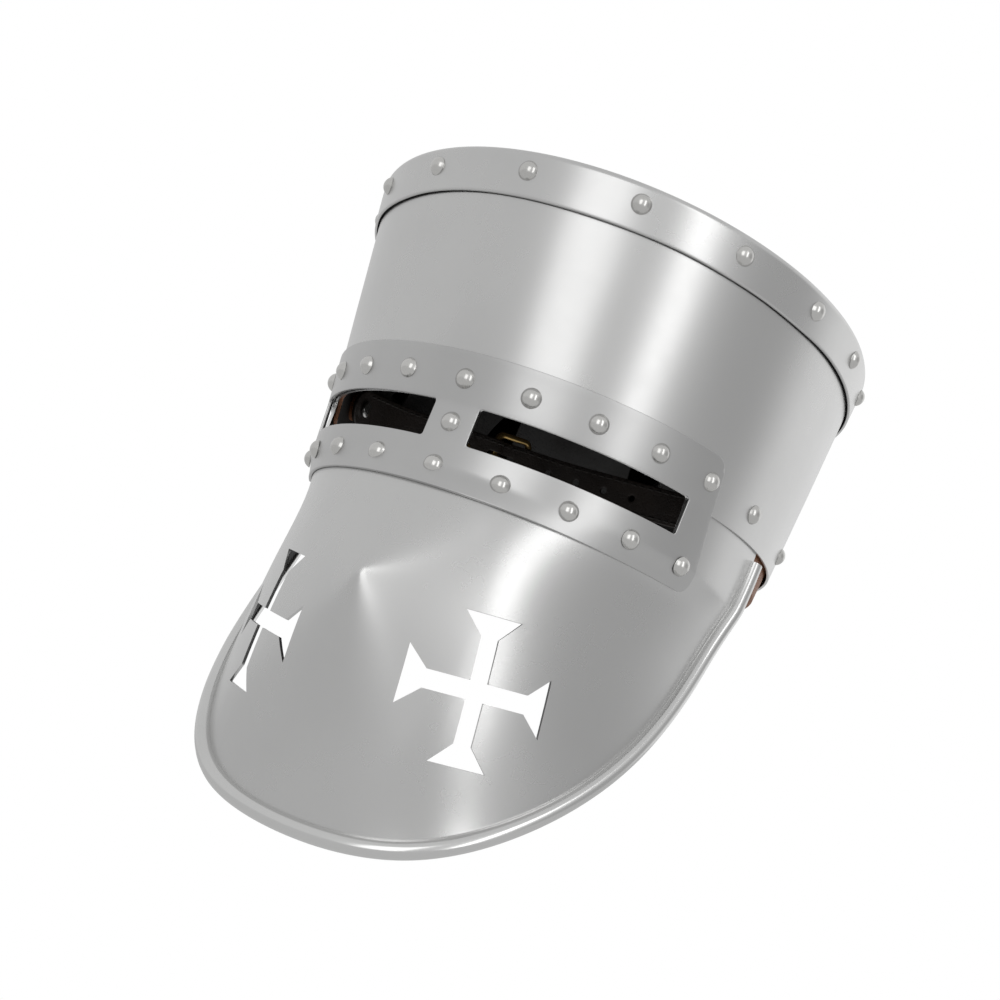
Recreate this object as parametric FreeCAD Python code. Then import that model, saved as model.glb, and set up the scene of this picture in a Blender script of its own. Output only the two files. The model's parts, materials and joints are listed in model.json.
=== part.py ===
import FreeCAD, Part
import math
import os

os.makedirs("parts", exist_ok=True)

# Flat-topped riveted helm. Millimetres, +Z up as worn, the face looks along -Y.
# The origin is the middle of the head opening, level with the skull's lower edge.

V = FreeCAD.Vector
UP = V(0, 0, 1)

# ---- driving dimensions -------------------------------------------------
SHEET = 1.2                    # skull and face plate gauge
SIGHT_SHEET = 1.4              # sight plate gauge
CROWN_SHEET = 1.4              # crown plate gauge
FIT = 0.05                     # gap left between touching sheets

RIM_SIDE = 103.9               # skull half width at its lower edge
RIM_FRONT = 118.1              # skull reach forward at its lower edge
RIM_BACK = 133.0               # skull reach backward at its lower edge
FLARE_SIDE = 0.103             # outward growth for each millimetre of height
FLARE_FRONT = 0.168
FLARE_BACK = 0.148

CROWN_TOP = 103.8              # height of the flat top
CROWN_EDGE = 84.4              # lower edge of the crown's turned-down flange
CROWN_PROUD = 2.1              # flange's outer face beyond the skull
CROWN_ROUND = 3.5              # radius round the top edge
CROWN_ROW_Z = 94.9             # height of the crown rivets
CROWN_PITCH = 47.2
CROWN_EACH_SIDE = 8            # crown rivets each side of the front one

RIVET_HEAD = 4.1               # head radius
RIVET_RISE = 2.8               # head height
RIVET_SHANK = 1.8
RIVET_HOLE = 1.85
RIVET_TAIL = 3.1
RIVET_TAIL_RISE = 0.9

TOP_ROW_Z = 11.2               # sight plate's upper rivets
LOW_ROW_Z = -24.4              # sight plate's lower rivets
MID_RIVET_Z = -6.5
TOP_PITCH = 28.0
LOW_PITCH = 28.2
ROW_EACH_SIDE = 4

SIGHT_TOP_Z = 22.0
SIGHT_LOW_Z = -33.5
SIGHT_TOP_TURN = 59.6          # degrees round from the front to the plate's ends
SIGHT_LOW_TURN = 64.6
SIGHT_CORNER = 6.0
SIGHT_GAP = 0.15               # between the sight plate and the face plate under it
SLIT_TOP = 1.4
SLIT_LOW = -14.4
SLIT_NEAR = 9.6                # sideways start and end of each sight slit
SLIT_FAR = 85.5
NOTCH_Z = 3.2                  # skull's lower edge where it crosses behind the sight plate
NOTCH_TURN = 56.5

FACE_TOP_Z = 19.0              # face plate's top edge, tucked inside the skull
FACE_SIDE = 109.1              # face plate half width at the lower rivets
FACE_FRONT = 119.1             # face plate reach forward at the lower rivets
FACE_CENTRE = 25.3             # centre of that section's ellipse
SIDE_CURVE = (48.5, 23.0, 9.5)         # growth below the lower rivets, by powers of the drop
FRONT_CURVE = (38.0, -36.5, 8.8)       # in units of 100 mm
CENTRE_CURVE = (206.0, 100.0, 0.0)
RIM_CURVE = (-2.5, 0.265, -0.00232)    # rear edge in side view, by powers of the height
FACE_REAR = 4.0                # the sections are closed behind this plane
CHIN_Z = -177.5                # about where the rear edge meets the chin
NOSE_Z = -75.3
NOSE_RISE = 11.2               # how far the nose peak stands out of the plate
NOSE_HALF_WIDTH = 40.0
NOSE_ABOVE = 46.0
NOSE_BELOW = 80.0

ROLL_RADIUS = 3.5              # rolled edge
ROLL_WIRE = 2.2                # wire inside it
ROLL_START_Z = -4.5
ROLL_OUT = 0.8                 # its middle line stands this far off the plate's face
ROLL_STEPS = 16

CROSS_SIDE = 47.8              # middle of each cross-shaped breath
CROSS_FRONT = -114.2
CROSS_Z = -101.2
CROSS_TURN = 38.5              # its outward turn in plan
CROSS_LEAN = 6.5
CROSS_BAR = 3.6                # half width of an arm
CROSS_NECK = 20.2              # where the arm starts to flare
CROSS_TIP = 28.6
CROSS_TIP_HALF = 11.4

LAP_HALF = 11.0                # rear lap of the skull sheet
LAP_TOP = 83.8
LAP_RIVETS = (14.0, 34.0, 54.0, 74.0)

LINER_GAP = 2.6                # from the skull's outer face to the headband
LINER_THICK = 2.2
LINER_TOP = 31.0
LINER_LOW = -5.0
LINER_FRONT_LOW = 4.2          # the headband is cut up here to clear the slits
LINER_SIDE_Y = 34.0            # side rivet's place
LINER_BACK_STEPS = (30.0, 90.0)
BURR_RADIUS = 4.2
BURR_THICK = 1.0
BURR_SEAT = 0.4                # burr's clearance from the headband

TONGUES = 8
TONGUE_FOOT_Z = 22.0
TONGUE_THICK = 1.8
TONGUE_FOOT_HALF = 36.0
TONGUE_TIP_HALF = 7.0
TONGUE_TIP_REACH = 26.0
TONGUE_WAIST_REACH = 84.0
TONGUE_WAIST_HALF = 31.0
TONGUE_FOOT_REACH = 140.0
DOME_SIDE = 99.4
DOME_LONG = 123.0
DOME_RISE = 60.0
DOME_Y = 7.1
DOME_Z = 24.0
LACE_RADIUS = 30.0
LACE_THICK = 1.6
LACE_BELOW = 5.6               # lace's depth under the dome at that radius
KNOT_RADIUS = 3.2
KNOT_LONG = 7.0

STRAP_Y = -30.3                # chin strap's rivets, at the height of the top row
STRAP_SIDE = 91.2              # strap's middle layer at the rivet
STRAP_THICK = 2.0
STRAP_WIDTH = 18.0
STRAP_END = 9.0                # round end's reach past the rivet
STRAP_STOW = 100.0             # degrees from hanging down to stowed inside the skull
KNEE = (STRAP_SIDE, 42.0)      # strap's path: sideways, depth
CHIN = (34.0, 122.0)
KNEE_ROUND = 40.0
CHIN_ROUND = 30.0
BAR_FROM_CHIN = 43.0
BAR_RADIUS = 1.6
FRAME_LONG = 19.0
FRAME_HALF = 12.2
PRONG_RADIUS = 1.2
FOLD_THICK = 1.8
FOLD_GAP = 0.3                 # between the fold and the bar it turns round
FOLD_RIVET_AT = -19.0
FOLD_RIVET_RADIUS = 1.6
TAIL_TOP = 4.9                 # the tail passes over the near bar and its fold at this height
TAIL_MID = 1.9
TAIL_LOW = 0.3
TAIL_TIP = -41.0
SLOT_HALF = 2.2                # prong's slots in the straps
PRONG_EYE_WALL = 1.35
PRONG_EYE_LONG = 3.0
PAD_RADIUS = 6.5
PAD_GAP = 0.15
TAIL_DISC = 3.7                # strap rivets' set tails
KEEPER_AT = -32.5
KEEPER_LONG = 7.0
KEEPER_WALL = 1.5


# ---- plan curves --------------------------------------------------------
def skull_axes(z, out=0.0):
    """Half width, front reach and back reach of the skull at a height."""
    return (RIM_SIDE + FLARE_SIDE * z + out, RIM_FRONT + FLARE_FRONT * z + out,
            RIM_BACK + FLARE_BACK * z + out)


def skull_wire(z, out=0.0):
    """Egg-shaped ring made of a front and a back half ellipse."""
    side, front, back = skull_axes(z, out)
    middle = V(0, 0, z)
    fore = Part.Ellipse(V(0, front, z), V(side, 0, z), middle)
    rear = Part.Ellipse(V(0, back, z), V(side, 0, z), middle)
    fore_arc = Part.ArcOfEllipse(fore, math.pi / 2, 3 * math.pi / 2).toShape()
    rear_arc = Part.ArcOfEllipse(rear, -math.pi / 2, math.pi / 2).toShape()
    return Part.Wire([rear_arc, fore_arc])


def skull_solid(low, high, out=0.0):
    return Part.makeLoft([skull_wire(low, out), skull_wire(high, out)], True, True)


def skull_point(turn, z, out=0.0):
    """Point and plan normal at an angle round from the front."""
    side, front, back = skull_axes(z, out)
    reach = front if math.cos(turn) > 0 else back
    point = V(side * math.sin(turn), -reach * math.cos(turn), z)
    normal = V(reach * math.sin(turn), -side * math.cos(turn), 0)
    return point, normal.normalize()


def walk(point_at, distance):
    """Angle at which the plan curve has run a distance from the front."""
    step = math.copysign(0.001, distance)
    turn = 0.0
    gone = 0.0
    last = point_at(0.0)[0]
    while gone < abs(distance):
        turn += step
        here = point_at(turn)[0]
        gone += here.distanceToPoint(last)
        last = here
    return turn


def slope_normal(point_at, turn, z):
    """Outward normal of a drafted wall, from the plan curves just above and below."""
    point, normal = point_at(turn, z)
    above = point_at(turn, z + 1.0)[0]
    below = point_at(turn, z - 1.0)[0]
    rise = above - below
    along = normal.cross(UP)
    out = rise.cross(along)
    if out.dot(normal) < 0:
        out = out.negative()
    return point, out.normalize()


# ---- face plate sections ------------------------------------------------
def face_axes(z):
    """Half width, front reach and centre of the face plate's outer face."""
    if z >= 0.0:
        side, front, _ = skull_axes(z, -SHEET - FIT)
        return side, front, 0.0
    if z > LOW_ROW_Z:
        share = z / LOW_ROW_Z
        side, front, _ = skull_axes(0.0, -SHEET - FIT)
        return (side + share * (FACE_SIDE - side), front + share * (FACE_FRONT - front),
                share * FACE_CENTRE)
    drop = (LOW_ROW_Z - z) / 100.0
    return (FACE_SIDE + grown(SIDE_CURVE, drop), FACE_FRONT + grown(FRONT_CURVE, drop),
            FACE_CENTRE + grown(CENTRE_CURVE, drop))


def grown(curve, drop):
    """Cubic growth of a face plate measure, zero at the lower rivets."""
    return drop * (curve[0] + drop * (curve[1] + drop * curve[2]))


def nose(x, z):
    """Extra forward reach of the nose peak."""
    tall = NOSE_ABOVE if z > NOSE_Z else NOSE_BELOW
    away = math.hypot(x / NOSE_HALF_WIDTH, (z - NOSE_Z) / tall)
    return NOSE_RISE * max(0.0, 1.0 - away) ** 2


def face_point(turn, z, out=0.0):
    """Point and plan normal on the face plate's outer face."""
    side, front, centre = face_axes(z)
    reach = centre + front + out
    x = (side + out) * math.sin(turn)
    point = V(x, centre - reach * math.cos(turn) - nose(x, z), z)
    normal = V(reach * math.sin(turn), -(side + out) * math.cos(turn), 0)
    return point, normal.normalize()


def face_turn(z, y, out=0.0):
    """Angle at which the section at height z reaches the plane y."""
    _, front, centre = face_axes(z)
    return math.acos((centre - y) / (centre + front + out))


def front_section(z, out, rear, steps=12):
    """Closed section: two smooth halves meeting at the nose line, flat behind."""
    end = face_turn(z, rear, out)
    right = [face_point(end * k / steps, z, out)[0] for k in range(steps + 1)]
    left = [V(-p.x, p.y, p.z) for p in reversed(right)]
    edges = []
    for points in (left, right):
        curve = Part.BSplineCurve()
        curve.interpolate(points)
        edges.append(curve.toShape())
    edges.append(Part.makeLine(right[-1], left[0]))
    return Part.Wire(edges)


def front_solid(levels, out, rear):
    return Part.makeLoft([front_section(z, out, rear) for z in levels], True, True)


# ---- cutters ------------------------------------------------------------
def sector(low, high, start_low, end_low, start_high, end_high):
    """Wedge of the front wall between two angles, with its ends square to the wall."""
    wires = []
    for z, start, end in ((low, start_low, end_low), (high, start_high, end_high)):
        corners = []
        for turn, reach in ((start, -18.0), (start, 40.0), (0.5 * (start + end), 60.0),
                            (end, 40.0), (end, -18.0)):
            point, normal = skull_point(turn, 0.0)
            flat = point + normal * reach
            corners.append(V(flat.x, flat.y, z))
        if abs(end - start) > 1.2:
            corners.append(V(0, 0, z))
        corners.append(corners[0])
        wires.append(Part.makePolygon(corners))
    return Part.makeLoft(wires, True, True)


def peg(point, normal, radius, inward=12.0, outward=8.0):
    return Part.makeCylinder(radius, inward + outward, point - normal * inward, normal)


def holes(places, radius=RIVET_HOLE):
    return Part.makeCompound([peg(point, normal, radius) for point, normal in places])


# ---- rivets -------------------------------------------------------------
def rivet(point, normal, grip, tail=True):
    """Dome head on the outer face, shank through the grip and a set tail inside."""
    globe = (RIVET_HEAD ** 2 + RIVET_RISE ** 2) / (2 * RIVET_RISE)
    foot = V(RIVET_HEAD, 0, FIT)
    crown = V(0, 0, FIT + RIVET_RISE)
    bend = math.asin(RIVET_HEAD / globe) / 2
    mid = V(globe * math.sin(bend), 0, FIT + RIVET_RISE - globe + globe * math.cos(bend))
    low = -grip - FIT
    edges = [Part.Arc(foot, mid, crown).toShape()]
    path = [crown, V(0, 0, low - (RIVET_TAIL_RISE if tail else 0.0))]
    if tail:
        path += [V(RIVET_TAIL, 0, low - RIVET_TAIL_RISE), V(RIVET_TAIL, 0, low)]
    path += [V(RIVET_SHANK, 0, low), V(RIVET_SHANK, 0, FIT), foot]
    edges += [Part.makeLine(a, b) for a, b in zip(path, path[1:])]
    solid = Part.Face(Part.Wire(edges)).revolve(V(0, 0, 0), UP, 360)
    solid = Part.Solid(solid) if solid.ShapeType == "Shell" else solid
    solid.Placement = FreeCAD.Placement(point, FreeCAD.Rotation(UP, normal))
    return solid


def rivet_group(places, grip):
    return Part.makeCompound([rivet(point, normal, grip) for point, normal in places])


# ---- rivet places -------------------------------------------------------
def on_skull(z, out, distance):
    turn = walk(lambda t: skull_point(t, z, out), distance) if distance else 0.0
    return slope_normal(lambda t, h: skull_point(t, h, out), turn, z)


def crown_places():
    return [on_skull(CROWN_ROW_Z, CROWN_PROUD, k * CROWN_PITCH)
            for k in range(-CROWN_EACH_SIDE, CROWN_EACH_SIDE + 1)]


SIGHT_OUT = SIGHT_SHEET + FIT
LOW_OUT = SIGHT_SHEET + SIGHT_GAP


def top_places():
    return [on_skull(TOP_ROW_Z, SIGHT_OUT, k * TOP_PITCH)
            for k in range(-ROW_EACH_SIDE, ROW_EACH_SIDE + 1)]


def low_places():
    places = []
    for k in range(-ROW_EACH_SIDE, ROW_EACH_SIDE + 1):
        turn = 0.0
        if k:
            turn = walk(lambda t: face_point(t, LOW_ROW_Z, LOW_OUT), k * LOW_PITCH)
        places.append(slope_normal(lambda t, h: face_point(t, h, LOW_OUT), turn, LOW_ROW_Z))
    return places


def mid_place():
    return slope_normal(lambda t, h: sight_point(t, h, SIGHT_SHEET), 0.0, MID_RIVET_Z)


def at_side(y):
    """Both wall places at a fore-and-aft position, level with the top row."""
    reach = skull_axes(TOP_ROW_Z)[1 if y < 0 else 2]
    turn = math.acos(-y / reach)
    return [slope_normal(skull_point, sign * turn, TOP_ROW_Z) for sign in (-1, 1)]


def liner_places():
    places = at_side(LINER_SIDE_Y)
    half_round = 0.0
    last = skull_point(0.0, TOP_ROW_Z)[0]
    for k in range(1, 721):
        here = skull_point(math.pi * k / 720, TOP_ROW_Z)[0]
        half_round += here.distanceToPoint(last)
        last = here
    for step in LINER_BACK_STEPS:
        for sign in (-1, 1):
            places.append(on_skull(TOP_ROW_Z, 0.0, sign * (half_round - step)))
    return places


def lap_places():
    return [slope_normal(lambda t, h: skull_point(t, h, SHEET), math.pi, z) for z in LAP_RIVETS]


# ---- metal pieces -------------------------------------------------------
def crown_plate():
    cap = skull_solid(CROWN_EDGE, CROWN_TOP, CROWN_PROUD)
    rim = [e for e in cap.Edges if all(abs(v.Z - CROWN_TOP) < 0.01 for v in e.Vertexes)]
    cap = cap.makeFillet(CROWN_ROUND, rim)
    hollow = skull_solid(CROWN_EDGE - 1.0, CROWN_TOP - CROWN_SHEET, CROWN_PROUD - CROWN_SHEET)
    return cap.cut(hollow).cut(holes(crown_places()))


def skull_shell():
    top = CROWN_TOP - CROWN_SHEET - FIT
    shell = skull_solid(0.0, top)
    lap = skull_solid(0.0, LAP_TOP, SHEET)
    lap = lap.common(Part.makeBox(2 * LAP_HALF, 60, LAP_TOP, V(-LAP_HALF, RIM_BACK - 30, 0)))
    shell = shell.fuse(lap).cut(skull_solid(-1.0, top + 1.0, -SHEET))
    turn = math.radians(NOTCH_TURN)
    shell = shell.cut(sector(-5.0, NOTCH_Z, -turn, turn, -turn, turn))
    places = crown_places() + top_places() + liner_places() + lap_places() + at_side(STRAP_Y)
    return shell.cut(holes(places))


def sight_point(turn, z, out=0.0):
    """Inner face of the sight plate: on the skull above its edge, on the face plate below."""
    if z >= 0.0:
        return skull_point(turn, z, out + FIT)
    share = min(z / LOW_ROW_Z, 1.0)
    lift = (SHEET + 2 * FIT) * (1.0 - share) + SIGHT_GAP * share
    return face_point(turn, z, out + lift)


def sight_section(z, out):
    steps = 12
    end = math.radians(72.0)
    right = [sight_point(end * k / steps, z, out)[0] for k in range(steps + 1)]
    left = [V(-p.x, p.y, p.z) for p in reversed(right)]
    curve = Part.BSplineCurve()
    curve.interpolate(left[:-1] + right)
    return Part.Wire([curve.toShape(), Part.makeLine(right[-1], left[0])])


def slit(sign, grow=0.0):
    near = math.asin((SLIT_NEAR - grow) / RIM_SIDE)
    far = math.asin((SLIT_FAR + grow) / (RIM_SIDE + SIGHT_SHEET))
    ends = sorted((sign * near, sign * far))
    return sector(SLIT_LOW - grow, SLIT_TOP + grow, ends[0], ends[1], ends[0], ends[1])


def corner_cutter(turn, z, side, end):
    """Square corner of the sight plate less its rounding."""
    flat, normal = skull_point(turn, 0.0)
    along = UP.cross(normal) * -side
    probe = flat + normal * (sight_point(turn, z)[0] - flat).dot(normal)
    corner = V(probe.x, probe.y, z)
    r = SIGHT_CORNER
    middle = corner + along * r - UP * (end * r)
    over = 3.0
    points = [middle, middle - along * (r + over), middle - along * (r + over) + UP * end * (r + over),
              middle + UP * end * (r + over)]
    points = [p - normal * 9.0 for p in points]
    square = Part.Face(Part.makePolygon(points + [points[0]])).extrude(normal * 18.0)
    return square.cut(Part.makeCylinder(r, 18.0, middle - normal * 9.0, normal))


def sight_plate():
    levels = (SIGHT_LOW_Z, LOW_ROW_Z, 0.0, SIGHT_TOP_Z)
    skin = Part.makeLoft([sight_section(z, SIGHT_SHEET) for z in levels], True, True)
    core_levels = (SIGHT_LOW_Z - 0.5, LOW_ROW_Z, 0.0, SIGHT_TOP_Z + 0.5)
    core = Part.makeLoft([sight_section(z, 0.0) for z in core_levels], True, True)
    low = math.radians(SIGHT_LOW_TURN)
    high = math.radians(SIGHT_TOP_TURN)
    plate = skin.cut(core)
    plate = plate.common(sector(SIGHT_LOW_Z - 1, SIGHT_TOP_Z + 1, -low, low, -high, high))
    for sign in (-1, 1):
        plate = plate.cut(corner_cutter(sign * high, SIGHT_TOP_Z, sign, 1))
        plate = plate.cut(corner_cutter(sign * low, SIGHT_LOW_Z, sign, -1))
        plate = plate.cut(slit(sign))
    plate = plate.cut(holes(top_places() + low_places() + [mid_place()]))
    beds = [Part.makeCylinder(RIVET_HEAD + FIT, RIVET_RISE, point, normal)
            for point, normal in low_places() + [mid_place()]]
    return plate.cut(Part.makeCompound(beds))


def rim_y(z):
    """Side view of the face plate's rear edge."""
    return RIM_CURVE[0] + RIM_CURVE[1] * z + RIM_CURVE[2] * z ** 2


def rim_point(z, out=0.0):
    y = min(rim_y(z), FACE_REAR)
    return face_point(face_turn(z, y, 0.0), z, out)[0]


def behind_rim():
    """Prism of everything behind the face plate's rear edge."""
    edge = -180.0
    top = V(edge, rim_y(0.0), FACE_TOP_Z + 5)
    steps = 14
    low = CHIN_Z - 8.0
    down = [V(edge, rim_y(low * k / steps), low * k / steps) for k in range(steps + 1)]
    curve = Part.BSplineCurve()
    curve.interpolate(down)
    far = [down[-1], V(edge, 60, down[-1].z), V(edge, 60, top.z), top, down[0]]
    edges = [curve.toShape()] + [Part.makeLine(a, b) for a, b in zip(far, far[1:])]
    return Part.Face(Part.Wire(edges)).extrude(V(-2 * edge, 0, 0))


def chin_height():
    """Height at which the rear edge meets the front of the face plate."""
    low, high = CHIN_Z - 20.0, CHIN_Z + 30.0
    for _ in range(40):
        mid = 0.5 * (low + high)
        if rim_y(mid) > face_point(0.0, mid)[0].y:
            high = mid
        else:
            low = mid
    return 0.5 * (low + high)


def rim_path(out=ROLL_OUT):
    """Smooth line along the rear edge, from one side round the chin to the other."""
    chin = chin_height()
    half = []
    for k in range(ROLL_STEPS):
        share = math.sin(0.5 * math.pi * k / ROLL_STEPS)
        half.append(rim_point(ROLL_START_Z + (chin - ROLL_START_Z) * share, out))
    bottom = face_point(0.0, chin, out)[0]
    points = half + [bottom] + [V(-p.x, p.y, p.z) for p in reversed(half)]
    curve = Part.BSplineCurve()
    curve.interpolate(points)
    return curve


def tube(curve, radius):
    start = curve.value(curve.FirstParameter)
    heading = curve.tangent(curve.FirstParameter)[0]
    ring = Part.Wire([Part.Circle(start, heading, radius).toShape()])
    return Part.Wire([curve.toShape()]).makePipeShell([ring], True, False)


def cross_cutter(sign):
    """Prism of one cross with flared arms, square to the face plate."""
    arm = [(CROSS_BAR, CROSS_BAR), (CROSS_BAR, CROSS_NECK), (CROSS_TIP_HALF, CROSS_TIP),
           (-CROSS_TIP_HALF, CROSS_TIP), (-CROSS_BAR, CROSS_NECK)]
    turn = math.radians(CROSS_TURN)
    across = V(math.cos(turn), math.sin(turn), 0)
    out = V(math.sin(turn), -math.cos(turn), 0)
    centre = V(CROSS_SIDE, CROSS_FRONT, CROSS_Z) - out * 20.0
    points = []
    for quarter in range(4):
        spin = math.radians(CROSS_LEAN + 90.0 * quarter)
        for a, b in arm:
            u = a * math.cos(spin) - b * math.sin(spin)
            w = a * math.sin(spin) + b * math.cos(spin)
            points.append(centre + across * u + UP * w)
    prism = Part.Face(Part.makePolygon(points + [points[0]])).extrude(out * 45.0)
    return prism if sign > 0 else prism.mirror(V(0, 0, 0), V(1, 0, 0))


def face_plate():
    levels = [FACE_TOP_Z, 0.0, -12.0, LOW_ROW_Z, SIGHT_LOW_Z, -44.0, -54.0, -63.0, -70.0, NOSE_Z,
              -81.0, -89.0, -98.0, -109.0, -121.0, -135.0, -150.0, -166.0, CHIN_Z - 7.0]
    core_levels = [FACE_TOP_Z + 0.5] + levels[1:-1] + [CHIN_Z - 8.0]
    plate = front_solid(levels, 0.0, FACE_REAR).cut(front_solid(core_levels, -SHEET, FACE_REAR + 2))
    plate = plate.cut(behind_rim()).cut(slit(1, 0.6)).cut(slit(-1, 0.6))
    plate = plate.cut(cross_cutter(1)).cut(cross_cutter(-1))
    places = top_places() + low_places() + [mid_place()] + at_side(STRAP_Y)
    plate = plate.cut(holes(places))
    path = rim_path()
    bore = tube(path, ROLL_WIRE + FIT)
    return plate.cut(bore).fuse(tube(path, ROLL_RADIUS).cut(bore))


def rim_wire():
    return tube(rim_path(), ROLL_WIRE)


# ---- leather liner ------------------------------------------------------
def liner_band():
    band = skull_solid(LINER_LOW, LINER_TOP, -LINER_GAP)
    band = band.cut(skull_solid(LINER_LOW - 1, LINER_TOP + 1, -LINER_GAP - LINER_THICK))
    turn = math.radians(NOTCH_TURN)
    band = band.cut(sector(LINER_LOW - 2, LINER_FRONT_LOW, -turn, turn, -turn, turn))
    band = band.cut(holes(top_places() + liner_places() + at_side(STRAP_Y)))
    return band.cut([strap_eye(sign) for sign in (-1, 1)])


LINER_GRIP = LINER_GAP + LINER_THICK


def burrs():
    """Washers under the liner rivets' set tails."""
    rings = []
    for point, normal in liner_places():
        seat = point - normal * (LINER_GRIP + BURR_SEAT + BURR_THICK)
        ring = Part.makeCylinder(BURR_RADIUS, BURR_THICK, seat, normal)
        rings.append(ring.cut(peg(point, normal, RIVET_HOLE)))
    return Part.makeCompound(rings)


def dome(shrink):
    """Rounded crown of the liner, as a squashed ball."""
    matrix = FreeCAD.Matrix()
    matrix.scale(DOME_SIDE - shrink, DOME_LONG - shrink, DOME_RISE - shrink)
    ball = Part.makeSphere(1.0).transformGeometry(matrix)
    ball.translate(V(0, DOME_Y, DOME_Z))
    return ball


def tongue(shell, index):
    """One petal of the liner, wide at the headband and narrow at the lace."""
    turn = 2 * math.pi * (index + 0.5) / TONGUES
    out = V(math.sin(turn), -math.cos(turn), 0)
    side = V(math.cos(turn), math.sin(turn), 0)
    centre = V(0, DOME_Y, TONGUE_FOOT_Z)
    corners = [centre + out * TONGUE_TIP_REACH + side * TONGUE_TIP_HALF,
               centre + out * TONGUE_WAIST_REACH + side * TONGUE_WAIST_HALF,
               centre + out * TONGUE_FOOT_REACH + side * TONGUE_FOOT_HALF,
               centre + out * TONGUE_FOOT_REACH - side * TONGUE_FOOT_HALF,
               centre + out * TONGUE_WAIST_REACH - side * TONGUE_WAIST_HALF,
               centre + out * TONGUE_TIP_REACH - side * TONGUE_TIP_HALF]
    wedge = Part.Face(Part.makePolygon(corners + [corners[0]])).extrude(UP * 80)
    return shell.common(wedge)


def liner_lace():
    """Lace drawn through the tongues' tips, with its knot."""
    height = DOME_Z + DOME_RISE * math.sqrt(1 - (LACE_RADIUS / DOME_LONG) ** 2) - LACE_BELOW
    centre = V(0, DOME_Y, height)
    ring = Part.makeTorus(LACE_RADIUS, LACE_THICK, centre, UP)
    start = centre + V(-KNOT_LONG / 2, LACE_RADIUS, -0.6)
    knot = Part.makeCylinder(KNOT_RADIUS, KNOT_LONG, start, V(1, 0, 0))
    return ring.fuse(knot)


# ---- chin strap, drawn hanging down and then stowed ---------------------
def plane_point(p, q, v=0.0):
    """Strap plane to space: sideways, depth below the rivets, fore and aft."""
    return V(p, STRAP_Y + v, TOP_ROW_Z - q)


def rounded(points, radii):
    """Path points with its corners replaced by short runs along an arc."""
    path = [points[0]]
    for before, corner, after, radius in zip(points, points[1:], points[2:], radii):
        a = math.atan2(before[1] - corner[1], before[0] - corner[0])
        b = math.atan2(after[1] - corner[1], after[0] - corner[0])
        half = 0.5 * ((b - a + math.pi) % (2 * math.pi) - math.pi)
        reach = radius / math.tan(abs(half))
        centre = (corner[0] + radius / math.sin(abs(half)) * math.cos(a + half),
                  corner[1] + radius / math.sin(abs(half)) * math.sin(a + half))
        start = math.atan2(corner[1] + reach * math.sin(a) - centre[1],
                           corner[0] + reach * math.cos(a) - centre[0])
        sweep = math.copysign(math.pi - 2 * abs(half), -half)
        for k in range(9):
            angle = start + sweep * k / 8
            path.append((centre[0] + radius * math.cos(angle),
                         centre[1] + radius * math.sin(angle)))
    return path + [points[-1]]


def ribbon(path, thick, width):
    """Band of even thickness along a path in the strap plane."""
    left, right = [], []
    for k, point in enumerate(path):
        before = path[max(k - 1, 0)]
        after = path[min(k + 1, len(path) - 1)]
        run = math.hypot(after[0] - before[0], after[1] - before[1])
        n = (-(after[1] - before[1]) / run, (after[0] - before[0]) / run)
        left.append((point[0] + n[0] * thick / 2, point[1] + n[1] * thick / 2))
        right.append((point[0] - n[0] * thick / 2, point[1] - n[1] * thick / 2))
    loop = left + right[::-1]
    corners = [plane_point(p, q, -width / 2) for p, q in loop]
    return Part.Face(Part.makePolygon(corners + [corners[0]])).extrude(V(0, width, 0))


RUN = math.hypot(KNEE[0] - CHIN[0], CHIN[1] - KNEE[1])
ALONG = ((KNEE[0] - CHIN[0]) / RUN, (CHIN[1] - KNEE[1]) / RUN)       # buckle's long way
OUTWARD = (-ALONG[1], ALONG[0])                                      # away from the head
MAIN_W = -BAR_RADIUS - FIT * 4 - STRAP_THICK / 2                     # strap under the far bar
BAR = (-CHIN[0] - ALONG[0] * BAR_FROM_CHIN - OUTWARD[0] * MAIN_W,
       CHIN[1] - ALONG[1] * BAR_FROM_CHIN - OUTWARD[1] * MAIN_W)


def buckle(u, w):
    """Buckle frame to strap plane: u along the strap, w away from the head."""
    return (BAR[0] + ALONG[0] * u + OUTWARD[0] * w, BAR[1] + ALONG[1] * u + OUTWARD[1] * w)


def buckle_rod(ends, radius, v_ends=(0.0, 0.0)):
    """Round bar between two places in the buckle's frame."""
    start = plane_point(*buckle(*ends[0]), v_ends[0])
    stop = plane_point(*buckle(*ends[1]), v_ends[1])
    ball = Part.makeSphere(radius, start).fuse(Part.makeSphere(radius, stop))
    rod = Part.makeCylinder(radius, start.distanceToPoint(stop), start, stop - start)
    return rod.fuse(ball)


def slot(u_low, u_high, half, w_low=-20.0, w_high=20.0):
    """Box in the buckle's frame, for a slot across the strap's thickness."""
    corners = [buckle(u, w) for u, w in
               ((u_low, w_low), (u_high, w_low), (u_high, w_high), (u_low, w_high))]
    points = [plane_point(p, q, -half) for p, q in corners]
    return Part.Face(Part.makePolygon(points + [points[0]])).extrude(V(0, 2 * half, 0))


def strap_eye(sign, radius=RIVET_SHANK + 0.1):
    """Level cutter through a strap end, its pad and the headband."""
    return Part.makeCylinder(radius, 40, plane_point(sign * 70, 0), V(sign, 0, 0))


def square_end(sign):
    """What is cut away to make a strap's riveted end round."""
    box = Part.makeBox(40, STRAP_WIDTH + 2, STRAP_WIDTH,
                       V(-20, STRAP_Y - STRAP_WIDTH / 2 - 1, TOP_ROW_Z))
    box.translate(V(sign * STRAP_SIDE, 0, 0))
    return box.cut(strap_eye(sign, STRAP_END))


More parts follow.
